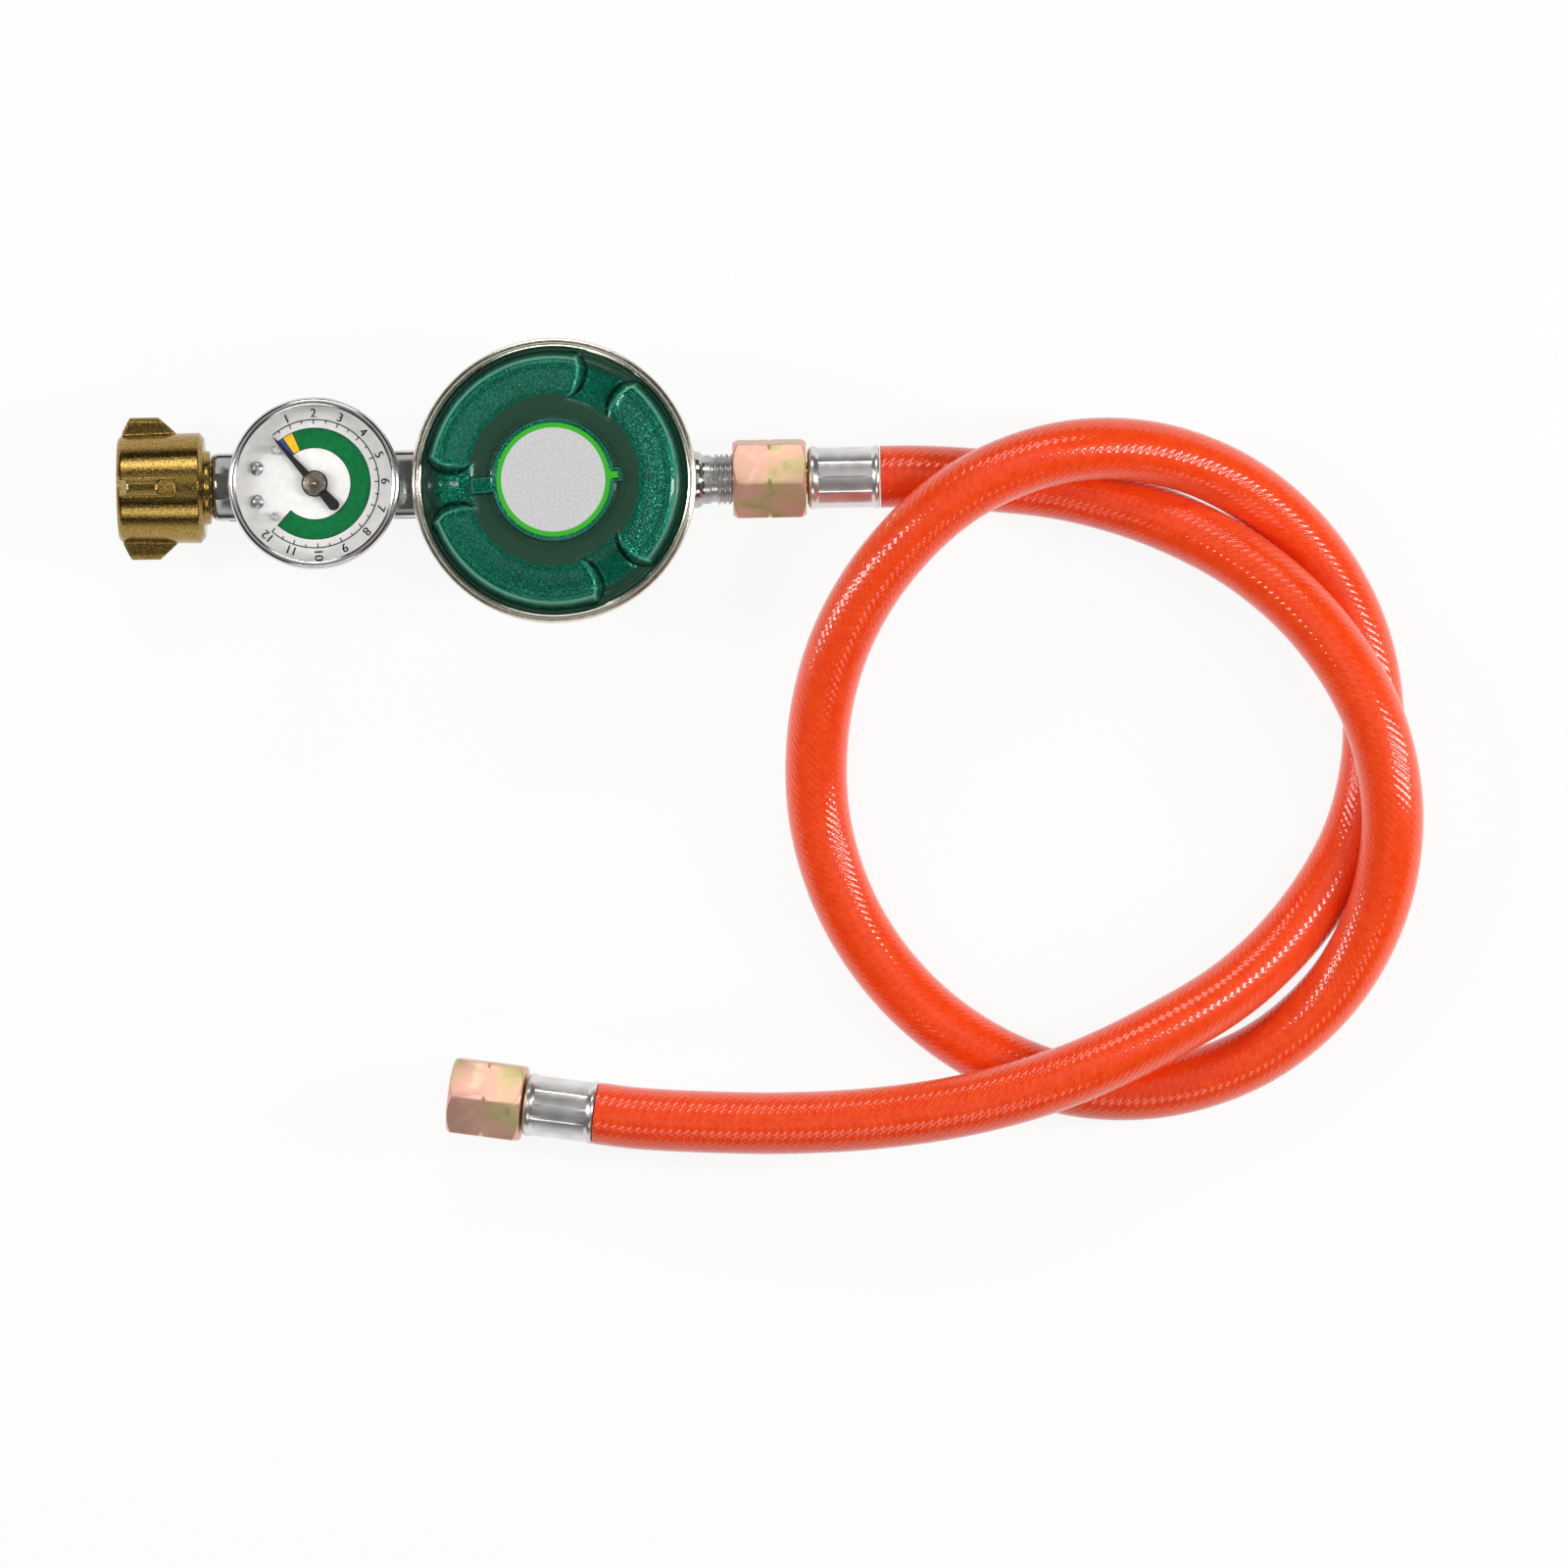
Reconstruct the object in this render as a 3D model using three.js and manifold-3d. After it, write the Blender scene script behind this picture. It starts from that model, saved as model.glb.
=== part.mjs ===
// Low-pressure propane regulator with a round pressure gauge, a wing nut for the cylinder and a rubber hose.
// Millimetres, +Z up. The origin is the middle of the regulator's round foot, on the surface it stands on.
// Gas flows along +X: cylinder nut, arm with the gauge, diaphragm housing, outlet, hose, free hose nut.
import * as THREE from 'three';
import { mergeVertices } from 'three/addons/utils/BufferGeometryUtils.js';
import Module from 'manifold-3d';

const wasm = await Module();
wasm.setup();

// ---- driving dimensions, millimetres ----
const gap = 0.3; // running clearance between neighbours
const flowHeight = 18.6; // flow line above the surface

const ringRadius = 36.6; // crimp ring round the housing
const ringBottom = 27.6;
const ringTop = 35.6;
const coverRadius = 34.2; // what the ring leaves of the cover in view
const plateauHeight = 43; // flat of the cover round its boss
const plateauRadius = 20.7;
const bossRadius = 15.8; // raised ring round the label
const bossHeight = 45;
const labelRadius = 15;
const wall = 1.6; // cover casting

const armWidth = 17.3;
const armStart = -88.3;
const gaugeX = -61; // middle of the gauge
const gaugeSeat = 29.4; // underside of the gauge case
const gaugeRadius = 22;
const dialFace = 41.6;

const nutFace = -112.4; // open face of the cylinder nut
const nutShoulder = -90.2;
const nutRadius = 14.25;
const wingTipRadius = 18.3;
const wingWidth = 4.2;
const wingBevel = 1.1; // along both edges of a wing's tip

const stubRadius = 13.157 / 2; // G 1/4 left-hand male thread
const hoseRadius = 8;
const hoseStartX = 83.8;
const hexAcrossFlats = 19;

const leverPivotX = -16.5; // valve lever inside the housing
const leverPivotZ = 11.5;
const gearModule = 0.3; // gauge movement
const pinionTeeth = 10;
const sectorTeethFull = 70;
const gearCentres = gearModule * (pinionTeeth + sectorTeethFull) / 2;
const pointerRest = THREE.MathUtils.degToRad(131);

// ---- small helpers ----
const deg = THREE.MathUtils.degToRad;

// Merge shared corners, drop slivers and turn the faces outwards.
function weld(geometry) {
  const source = geometry.clone();
  for (const name of Object.keys(source.attributes)) {
    if (name !== 'position') source.deleteAttribute(name);
  }
  const merged = mergeVertices(source, 1e-4);
  const p = merged.attributes.position;
  const kept = [];
  let volume = 0;
  const [a, b, c] = [new THREE.Vector3(), new THREE.Vector3(), new THREE.Vector3()];
  for (let i = 0; i < merged.index.count; i += 3) {
    const tri = [0, 1, 2].map((k) => merged.index.getX(i + k));
    if (new Set(tri).size < 3) continue;
    kept.push(...tri);
    a.fromBufferAttribute(p, tri[0]);
    b.fromBufferAttribute(p, tri[1]);
    c.fromBufferAttribute(p, tri[2]);
    volume += a.dot(b.cross(c));
  }
  if (volume < 0) kept.reverse();
  merged.setIndex(kept);
  return merged;
}

function toManifold(geometry) {
  const g = weld(geometry);
  const mesh = new wasm.Mesh({
    numProp: 3,
    vertProperties: new Float32Array(g.attributes.position.array),
    triVerts: new Uint32Array(g.index.array),
  });
  return new wasm.Manifold(mesh);
}

function toGeometry(manifold) {
  const mesh = manifold.getMesh();
  const g = new THREE.BufferGeometry();
  g.setAttribute('position', new THREE.BufferAttribute(new Float32Array(mesh.vertProperties), 3));
  g.setIndex(new THREE.BufferAttribute(new Uint32Array(mesh.triVerts), 1));
  return g;
}

function combine(operation, first, others) {
  let result = toManifold(first);
  for (const other of others.flat()) result = result[operation](toManifold(other));
  return toGeometry(result);
}

const union = (first, ...others) => combine('add', first, others);
const cut = (first, ...others) => combine('subtract', first, others);
const common = (first, ...others) => combine('intersect', first, others);

// Revolve [along, radius] points about Z or X. The outline closes on the axis or on itself.
function revolve(points, axis = 'z', segments = 32) {
  const outline = points.map(([along, radius]) => new THREE.Vector2(radius, along));
  const last = points[points.length - 1];
  if (points[0][1] > 0 || last[1] > 0) outline.push(outline[0].clone());
  const g = new THREE.LatheGeometry(outline, segments);
  return axis === 'z' ? g.rotateX(Math.PI / 2) : g.rotateZ(-Math.PI / 2);
}

function rod(radius, from, to, axis = 'z', segments = 18) {
  const g = new THREE.CylinderGeometry(radius, radius, to - from, segments);
  g.translate(0, (from + to) / 2, 0);
  if (axis === 'z') return g.rotateX(Math.PI / 2);
  return axis === 'x' ? g.rotateZ(-Math.PI / 2) : g;
}

function box(x0, x1, y0, y1, z0, z1) {
  const g = new THREE.BoxGeometry(x1 - x0, y1 - y0, z1 - z0);
  return g.translate((x0 + x1) / 2, (y0 + y1) / 2, (z0 + z1) / 2);
}

// A flat outline in plan, raised from z0 to z1.
function raise(shape, z0, z1, curveSegments = 8) {
  const g = new THREE.ExtrudeGeometry(shape, { depth: z1 - z0, bevelEnabled: false, curveSegments });
  return g.translate(0, 0, z0);
}

// An outline drawn in X and Z, given a width along Y and centred on it.
function across(shape, width) {
  const g = new THREE.ExtrudeGeometry(shape, { depth: width, bevelEnabled: false, curveSegments: 8 });
  return g.translate(0, 0, -width / 2).rotateX(Math.PI / 2);
}

function shapeOf(points) {
  return new THREE.Shape(points.map(([x, y]) => new THREE.Vector2(x, y)));
}

// A bar with rounded ends from one point to another.
function stadium(from, to, radius) {
  const turn = Math.atan2(to[1] - from[1], to[0] - from[0]);
  const shape = new THREE.Shape();
  shape.absarc(to[0], to[1], radius, turn - Math.PI / 2, turn + Math.PI / 2);
  shape.absarc(from[0], from[1], radius, turn + Math.PI / 2, turn + 1.5 * Math.PI);
  shape.closePath();
  return shape;
}

// A ring sector in plan, with its four corners rounded by arcs of cornerRadius.
function ringSector(inner, outer, fromAngle, toAngle, cornerRadius) {
  const shape = new THREE.Shape();
  const corner = (radius, angle, side) => {
    const bend = radius + (radius === outer ? -cornerRadius : cornerRadius);
    return angle + side * Math.asin(cornerRadius / bend);
  };
  const put = (radius, angle) => [radius * Math.cos(angle), radius * Math.sin(angle)];
  shape.absarc(0, 0, outer, corner(outer, fromAngle, 1), corner(outer, toAngle, -1));
  shape.quadraticCurveTo(...put(outer, toAngle), ...put(outer - cornerRadius, toAngle));
  shape.lineTo(...put(inner + cornerRadius, toAngle));
  shape.quadraticCurveTo(...put(inner, toAngle), ...put(inner, corner(inner, toAngle, -1)));
  shape.absarc(0, 0, inner, corner(inner, toAngle, -1), corner(inner, fromAngle, 1), true);
  shape.quadraticCurveTo(...put(inner, fromAngle), ...put(inner + cornerRadius, fromAngle));
  shape.lineTo(...put(outer - cornerRadius, fromAngle));
  shape.quadraticCurveTo(...put(outer, fromAngle), ...put(outer, corner(outer, fromAngle, 1)));
  return shape;
}

// A ring sector in plan with square ends.
function ringArc(inner, outer, fromAngle, toAngle) {
  const shape = new THREE.Shape();
  shape.absarc(0, 0, outer, fromAngle, toAngle);
  shape.absarc(0, 0, inner, toAngle, fromAngle, true);
  return shape;
}

// A round wire wound about Z: one unbroken tube with flat-cut ends.
function coil(radius, wire, bottom, top, turns, stepsPerTurn = 12) {
  const points = [];
  for (let i = 0; i <= turns * stepsPerTurn; i += 1) {
    const angle = 2 * Math.PI * i / stepsPerTurn;
    const along = i / (turns * stepsPerTurn);
    const z = bottom + wire + (top - bottom - 2 * wire) * along;
    points.push(new THREE.Vector3(radius * Math.cos(angle), radius * Math.sin(angle), z));
  }
  const section = new THREE.Shape();
  section.absarc(0, 0, wire, 0, 2 * Math.PI);
  const path = new THREE.CatmullRomCurve3(points, false, 'catmullrom', 0.5);
  return new THREE.ExtrudeGeometry(section, {
    steps: turns * stepsPerTurn,
    curveSegments: 3,
    extrudePath: path,
  });
}

const finishes = {
  castZinc: { color: 0x9b9b98, roughness: 0.5, metalness: 0.9 },
  forgedBrass: { color: 0xc8a050, roughness: 0.4, metalness: 0.95 },
  turnedBrass: { color: 0xc9a64e, roughness: 0.3, metalness: 0.95 },
  flakePaint: { color: 0x008060, roughness: 0.35, metalness: 0.4 },
  nickelRing: { color: 0xc9c2b2, roughness: 0.3, metalness: 0.95 },
  chrome: { color: 0xd8d8da, roughness: 0.12, metalness: 1 },
  clearPlastic: { color: 0xf2f4f5, roughness: 0.05, metalness: 0 },
  whiteEnamel: { color: 0xf4f4f2, roughness: 0.45, metalness: 0 },
  blackEnamel: { color: 0x1a1a1c, roughness: 0.35, metalness: 0 },
  yellowZinc: { color: 0xb7a062, roughness: 0.35, metalness: 0.9 },
  steel: { color: 0xb9bbbd, roughness: 0.3, metalness: 0.95 },
  springSteel: { color: 0x8f9193, roughness: 0.35, metalness: 0.95 },
  hoseRubber: { color: 0xf04b23, roughness: 0.35, metalness: 0 },
  blackRubber: { color: 0x26262a, roughness: 0.8, metalness: 0 },
  foil: { color: 0xd6d7d5, roughness: 0.4, metalness: 0.6 },
};

function piece(name, geometry, finish) {
  const mesh = new THREE.Mesh(weld(geometry), new THREE.MeshStandardMaterial(finishes[finish]));
  mesh.name = name;
  return mesh;
}

// ---- housing ----

// Die-cast lower half: dish, foot, arm that carries the gauge, outlet stub and the valve block.
function regulatorBody() {
  const dish = revolve([
    [0, 0], [0, 15.2], [0.8, 16], [6, 16.6], [7.6, 22], [13, 25.4], [20.5, 31], [28.7, 33.4],
    [28.7, 35.9], [31.6, 35.9], [31.6, 0],
  ], 'z', 32);
  const arm = roundedArm();
  const gaugeBoss = rod(8.2, flowHeight, gaugeSeat - gap, 'z', 20);
  gaugeBoss.translate(gaugeX, 0, 0);
  const neck = revolve([
    [20, 0], [20, 8.6], [36.6, 7.3], [37.8, 6.9], [38.3, 6.3], [40, 6.3], [40.3, 5.9], [40.3, 0],
  ], 'x', 18);
  const stub = revolve([
    [39, 0], [39, 5.9], [40.6, 5.9], [41.2, stubRadius], [55.2, stubRadius], [56.1, 5.8], [56.1, 0],
  ], 'x', 18);
  const gussets = [-1, 1].map((side) => footRib(side));
  const outer = union(dish, arm, gaugeBoss, lift(neck), lift(stub), ...gussets);

  const chamber = revolve([
    [8, 0], [8, 19.2], [9, 20.4], [15.2, 22.6], [22.8, 28.4], [28.7, 31], [32.6, 31], [32.6, 0],
  ], 'z', 18);
  const inletBore = lift(rod(3.2, armStart - 1, -20, 'x', 12));
  const nippleSeat = lift(rod(5.3, armStart - 1, -80, 'x', 18));
  const nozzleSeat = lift(rod(4.8, -30, -20, 'x', 16));
  const gaugePort = rod(5.4, flowHeight, gaugeSeat + 1, 'z', 18);
  gaugePort.translate(gaugeX, 0, 0);
  const outletBore = lift(revolve([[15, 0], [15, 4], [52.2, 4], [57, 5.6], [57, 0]], 'x', 14));
  const panels = [-1, 1].map((side) => sidePanel(side));
  const body = cut(outer, chamber, inletBore, nippleSeat, nozzleSeat, gaugePort, outletBore, panels);
  return union(body, valveBlock());
}

function lift(geometry) {
  return geometry.translate(0, 0, flowHeight);
}

// The arm's section is a square with broken corners, and it drops under the crimp ring.
function roundedArm() {
  const half = armWidth / 2;
  const soft = 2.2;
  const section = shapeOf([
    [-half, -half + soft], [-half + soft, -half], [half - soft, -half], [half, -half + soft],
    [half, half - soft], [half - soft, half], [-half + soft, half], [-half, half - soft],
  ]);
  const g = new THREE.ExtrudeGeometry(section, { depth: 64, bevelEnabled: false });
  g.rotateY(Math.PI / 2).translate(armStart, 0, flowHeight);
  const boss = box(-87.4, -83.4, -3.4, 3.4, flowHeight, flowHeight + half + 0.7);
  return union(g, boss);
}

// Long shallow pocket in each flank of the arm.
function sidePanel(side) {
  const depth = 2.6;
  const outerFace = side * (armWidth / 2 + 1);
  const innerFace = side * (armWidth / 2 - depth);
  const low = flowHeight - 4.6;
  const high = flowHeight + 4.6;
  const near = box(-84, -70, Math.min(outerFace, innerFace), Math.max(outerFace, innerFace), low, high);
  const far = box(-52, -33, Math.min(outerFace, innerFace), Math.max(outerFace, innerFace), low, high);
  return union(near, far);
}

// Rib from the foot out to the dish on each side.
function footRib(side) {
  const rib = across(shapeOf([[0, 1.5], [14, 1.5], [30.5, 21], [0, 21]]), 3);
  return rib.rotateZ(side * Math.PI / 2);
}

// Two cheeks in the floor of the chamber: they guide the valve piston and hold the lever's pin.
function valveBlock() {
  const block = box(-20.4, -12.6, -6.8, 6.8, 7.5, 23.6);
  const guide = lift(rod(4.3, -22, -11, 'x', 16));
  const slot = box(-21, -12, -2.4, 2.4, 7, flowHeight);
  const pinHole = rod(1.3, -8, 8, 'y', 8).translate(leverPivotX, 0, leverPivotZ);
  const crown = box(-21, -12, -2.9, 2.9, flowHeight, 24);
  return cut(block, guide, slot, pinHole, crown);
}

// ---- the cover: a dome with three raised shoulders, valleys between them and a boss for the label ----
const shoulderCount = 3;
const shoulderHalfSpan = deg(47.2);
const shoulderCorner = 3.2; // rounding of a shoulder in plan
const coverTurn = deg(3.7); // the cover sits a little round from the flow line

// Outer outline at the valleys: flange, ramp up to the plateau, boss round the label.
const valleyOutline = [
  [33.2, 0], [33.2, 35.9], [34.3, 35.9], [34.3, 31.6], [36.6, 29.4], [41.4, 22.6],
  [plateauHeight, plateauRadius], [plateauHeight, bossRadius], [bossHeight, bossRadius], [bossHeight, 0],
];

// Inner outline there, a wall thickness below, round the tower that holds the spring adjuster.
const valleyHollow = [
  [33, 0], [33, 31], [35.4, 28.6], [39.9, 22.2], [plateauHeight - wall, plateauRadius - 0.6],
  [plateauHeight - wall, 14], [37, 14], [37, 0],
];

// Outline of the shoulders: a steep wall up to a rounded ridge, then a gentle cone to the plateau.
function shoulderOutline(inset) {
  return [
    [33.2, 0], [33.2, 32.2 - inset], [40.2 - inset / 2, 31.2 - inset], [41.8 - inset, 29.6 - inset / 2],
    [plateauHeight - inset, 22.6], [plateauHeight - inset, 0],
  ];
}

// Drafted prisms that let the shoulders stand only where they should, set in by a casting wall inside.
function shoulderPrisms(inset) {
  const half = shoulderHalfSpan - inset / 27;
  const shape = ringSector(21.4, 33 - inset, -half, half, shoulderCorner);
  const prisms = [];
  for (let i = 0; i < shoulderCount; i += 1) {
    const g = new THREE.ExtrudeGeometry(shape, {
      depth: 0.2,
      bevelThickness: 14,
      bevelSize: 2.4,
      bevelOffset: -0.6,
      bevelSegments: 1,
      curveSegments: inset ? 2 : 3,
    });
    prisms.push(g.translate(0, 0, 31).rotateZ(2 * Math.PI * i / shoulderCount));
  }
  return prisms;
}

function coverForm(outline, inset, segments) {
  const dome = revolve(shoulderOutline(inset), 'z', segments);
  const raised = shoulderPrisms(inset).map((prism) => common(dome, prism));
  return union(revolve(outline, 'z', segments), ...raised);
}

function cover() {
  const rib = box(-plateauRadius - 0.3, -14, -2.2, 2.2, 40, bossHeight - 0.3);
  const keyway = box(14, 17.6, -1.9, 1.9, 40, bossHeight);
  const outside = union(coverForm(valleyOutline, 0, 36), rib, keyway);
  const seat = union(
    rod(labelRadius + 0.25, bossHeight - 1.2, bossHeight + 1, 'z', 30),
    box(14, 17, -1.2, 1.2, bossHeight - 1.2, bossHeight + 1),
  );
  const tower = rod(12.4, 36, bossHeight, 'z', 20);
  const vent = rod(1, 26, 36, 'x', 8).translate(0, 0, 37.4).rotateZ(2 * Math.PI / shoulderCount);
  return cut(outside, coverForm(valleyHollow, wall, 12), seat, tower, vent).rotateZ(coverTurn);
}

function crimpRing() {
  return revolve([
    [ringBottom, 34], [ringBottom, 36.1], [ringBottom + 0.5, ringRadius], [ringTop - 1, ringRadius],
    [ringTop, ringRadius - 0.8], [ringTop, coverRadius], [ringTop - 1, coverRadius], [ringTop - 1, 36.2],
    [28.4, 36.2], [28.4, 34],
  ], 'z', 32);
}

function label() {
  const disc = rod(labelRadius, bossHeight - 0.9, bossHeight - 0.3, 'z', 30);
  return union(disc, box(14, 16.7, -0.9, 0.9, bossHeight - 0.9, bossHeight - 0.3)).rotateZ(coverTurn);
}

function springAdjuster() {
  const plug = revolve([[40.2, 0], [40.2, 12.1], [43.4, 12.1], [43.4, 0]], 'z', 20);
  const slots = [box(-9, 9, -1, 1, 41.8, 44), rod(4.6, 41.4, 44, 'z', 6), rod(7.4, 39, 41.2, 'z', 14)];
  const boss = rod(6, 39.6, 41.4, 'z', 14);
  return union(cut(plug, slots), cut(boss, rod(4.6, 39, 42, 'z', 6)));
}

// ---- diaphragm and what it carries ----
function diaphragm() {
  return revolve([
    [27.2, 2.4], [27.2, 17.4], [30.2, 21.4], [31.2, 24], [30.4, 28.4], [31.9, 31.2], [31.9, 35.8],
    [32.9, 35.8], [32.9, 30.9], [31.4, 28.2], [32.2, 24.2], [31.2, 20.8], [28.2, 17], [28.2, 2.4],
  ], 'z', 16);
}

function diaphragmPlate() {
  return revolve([
    [28.5, 2.4], [28.5, 16.2], [29.6, 17.2], [31, 17.2], [31, 16.4], [29.4, 15.4], [29.4, 2.4],
  ], 'z', 16);
}

function diaphragmStem() {
  return revolve([
    [20.6, 0], [20.6, 3.1], [20.9, 3.4], [21.8, 3.4], [21.8, 1.5], [24.4, 1.5], [24.4, 3.4], [25.8, 3.4],
    [25.8, 6], [26.9, 6], [26.9, 1.9], [38.2, 1.9], [38.2, 0],
  ], 'z', 12);
}

function reliefNut() {
  return cut(rod(3.9, 35.6, 37.6, 'z', 6), rod(2.2, 35, 38, 'z', 14));
}

// ---- inlet valve ----
function valvePiston() {
  const piston = revolve([[-20.7, 0], [-20.7, 4], [-12.4, 4], [-12, 3.6], [-12, 0]], 'x', 14);
  const padSeat = rod(2.8, -22, -19.2, 'x', 14);
  return cut(lift(piston), lift(padSeat), box(-18, -15, -2.4, 2.4, flowHeight - 5, flowHeight + 2));
}

function valvePad() {
  return lift(revolve([[-21, 0], [-21, 2.2], [-20.7, 2.5], [-19.5, 2.5], [-19.5, 0]], 'x', 12));
}

function valveNozzle() {
  const nozzle = revolve([
    [-29.6, 0], [-29.6, 4.2], [-29.3, 4.5], [-23.6, 4.5], [-23.6, 3], [-22.6, 2.4], [-22, 1.9], [-22, 0],
  ], 'x', 12);
  return cut(lift(nozzle), lift(rod(1.1, -31, -20, 'x', 8)));
}

// Bent lever: a rounded finger up into the piston, and an arm out to a fork round the diaphragm's stem.
function valveLever() {
  const hub = rod(2.3, -2, 2, 'y', 14).translate(leverPivotX, 0, leverPivotZ);
  const finger = across(shapeOf([
    [leverPivotX - 0.7, leverPivotZ], [leverPivotX + 0.7, leverPivotZ],
    [leverPivotX + 0.6, flowHeight], [leverPivotX - 0.6, flowHeight],
  ]), 4);
  const tip = rod(1.2, -2, 2, 'y', 10).translate(leverPivotX, 0, flowHeight);
  const arm = across(shapeOf([
    [leverPivotX, leverPivotZ - 1.3], [leverPivotX + 8, leverPivotZ - 0.6], [-3.6, 22.5], [-2.4, 22.5],
    [-2.4, 23.7], [-4.4, 23.7], [leverPivotX + 7.2, leverPivotZ + 1.2], [leverPivotX, leverPivotZ + 1.3],
  ]), 4);
  const plate = cut(box(-4.4, 4.2, -3.6, 3.6, 22.5, 23.7), raise(stadium([-0.6, 0], [8, 0], 1.9), 22, 24));
  const solid = union(hub, finger, tip, arm, plate);
  return cut(solid, rod(1.3, -3, 3, 'y', 12).translate(leverPivotX, 0, leverPivotZ));
}

function leverPin() {
  return rod(1, -6.6, 6.6, 'y', 12).translate(leverPivotX, 0, leverPivotZ);
}

// ---- inlet: nipple, seal, filter, excess-flow valve and the wing nut ----
function inletNipple() {
  const outside = revolve([
    [-107, 0], [-107, 4.6], [-104.8, 6.4], [-96, 6.6], [-96, 9.6], [-93.6, 9.6],
    [-93.6, 5.05], [-80.8, 5.05], [-80.4, 4.6], [-80.4, 0],
  ], 'x', 16);
  const bores = revolve([
    [-108, 0], [-108, 3.4], [-88, 3.4], [-88, 2.1], [-86.4, 2.1], [-86.4, 3], [-80, 3], [-80, 0],
  ], 'x', 10);
  return cut(lift(outside), lift(bores));
}

function inletSeal() {
  return lift(revolve([
    [-99, 6.95], [-99, 9.2], [-98.6, 9.6], [-96.7, 9.6], [-96.3, 9.2], [-96.3, 6.95],
  ], 'x', 16));
}

function inletFilter() {
  return lift(revolve([[-104.4, 0], [-104.4, 2.6], [-100.4, 3.1], [-100.4, 0]], 'x', 14));
}

function excessFlowPoppet() {
  const poppet = revolve([
    [-92.8, 0], [-92.8, 2.4], [-92.2, 2.9], [-91.2, 2.9], [-90.8, 2.4], [-90.8, 1], [-83, 1],
    [-82.6, 0.6], [-82.6, 0],
  ], 'x', 12);
  return lift(poppet);
}

function excessFlowSpring() {
  const spring = coil(1.65, 0.28, 0, 2.1, 2, 7);
  return lift(spring.rotateY(Math.PI / 2).translate(-90.5, 0, 0));
}

function wingNut() {
  const blank = revolve([
    [nutFace, 0], [nutFace, nutRadius - 1.4], [nutFace + 0.9, nutRadius - 0.5], [-97, nutRadius - 0.1],
    [nutShoulder - 1.1, nutRadius], [nutShoulder, nutRadius - 1.5], [nutShoulder, 9.6], [-88.9, 9.4],
    [-88.6, 9], [-88.6, 0],
  ], 'x', 24);
  const wings = [0, 1, 2, 3].map((i) => wing().rotateX(i * Math.PI / 2));
  const thread = revolve([
    [nutFace - 1, 0], [nutFace - 1, 11.6], [nutFace + 1, 10.6], [-93.3, 10.6], [-93.3, 5.4],
    [-88, 5.4], [-88, 0],
  ], 'x', 18);
  return lift(cut(union(blank, ...wings), thread));
}

// One wing: flat on top, with both ends sloped down to the nut and its long edges broken.
function wing() {
  const root = 11.5;
  const shape = shapeOf([
    [-111.3, root], [-111.3, 14.4], [-109.3, wingTipRadius], [-101.9, wingTipRadius],
    [-97.6, 14.4], [-97.6, root],
  ]);
  return common(across(shape, wingWidth), roofPrism(wingWidth / 2, wingTipRadius, wingBevel));
}

// A long bar along X whose top edges are broken by the given amount.
function roofPrism(half, top, bevel) {
  const section = shapeOf([
    [-half, 0], [half, 0], [half, top - bevel], [half - bevel, top],
    [-half + bevel, top], [-half, top - bevel],
  ]);
  const g = new THREE.ExtrudeGeometry(section, { depth: 40, bevelEnabled: false });
  return g.rotateX(Math.PI / 2).rotateZ(Math.PI / 2).translate(-125, 0, 0);
}

// ---- gauge ----
function gaugeCase() {
  return revolve([
    [gaugeSeat, 5.5], [gaugeSeat, 19.6], [gaugeSeat + 1.6, 21.3], [44.9, 21.3], [44.9, 20.5],
    [gaugeSeat + 1.9, 20.5], [gaugeSeat + 1, 19.4], [gaugeSeat + 1, 5.5],
  ], 'z', 24);
}

function gaugeBezel() {
  return revolve([
    [42, 21.6], [42, gaugeRadius], [47.4, gaugeRadius], [48.3, gaugeRadius - 1], [48.3, 19.9], [47.6, 19.3],
    [47.1, 19.3], [47.1, 21.6],
  ], 'z', 26);
}

function gaugeWindow() {
  return revolve([[45.2, 0], [45.2, 21], [46.8, 21], [46.8, 0]], 'z', 26);
}

const stopPinPlaces = [
  { radius: 13.1, angle: deg(138.5) },
  { radius: 13, angle: deg(-140.6) },
];
const rivetPlaces = [[-14.7, 4.1], [-14.7, -4.4]];

function gaugeDial() {
  const holes = [rod(1.2, 40, 43, 'z', 8)];
  for (const [x, y] of rivetPlaces) holes.push(rod(1, 40, 43, 'z', 8).translate(x, y, 0));
  return cut(rod(20.1, dialFace - 0.6, dialFace, 'z', 24), holes);
}

function dialRivet(place) {
  const rivet = revolve([
    [40.4, 0], [40.4, 0.7], [dialFace + gap, 0.7], [dialFace + gap, 1.75], [42.4, 1.5], [42.8, 0],
  ], 'z', 10);
  return rivet.translate(place[0], place[1], 0);
}

function stopPin({ radius, angle }) {
  const pin = revolve([
    [dialFace + gap, 0], [dialFace + gap, 1.15], [43.7, 1.15], [44.1, 0.7], [44.1, 0],
  ], 'z', 10);
  return pin.translate(radius * Math.cos(angle), radius * Math.sin(angle), 0);
}

function pointer() {
  const blade = new THREE.Shape();
  blade.moveTo(0, 1.1);
  blade.lineTo(14.6, 0.28);
  blade.lineTo(16.1, 0);
  blade.lineTo(14.6, -0.28);
  blade.lineTo(0, -1.1);
  blade.absarc(-7.2, 0, 1.5, -Math.PI / 2, -1.5 * Math.PI, true);
  const solid = union(raise(blade, 42.5, 42.9, 5), rod(3.35, 42.3, 43.1, 'z', 16));
  return cut(solid, rod(0.95, 42, 44, 'z', 8)).rotateZ(pointerRest);
}

function pointerCap() {
  return revolve([
    [43.4, 0], [43.4, 2.95], [44, 2.9], [44.5, 2.3], [44.8, 0],
  ], 'z', 16);
}

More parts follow.
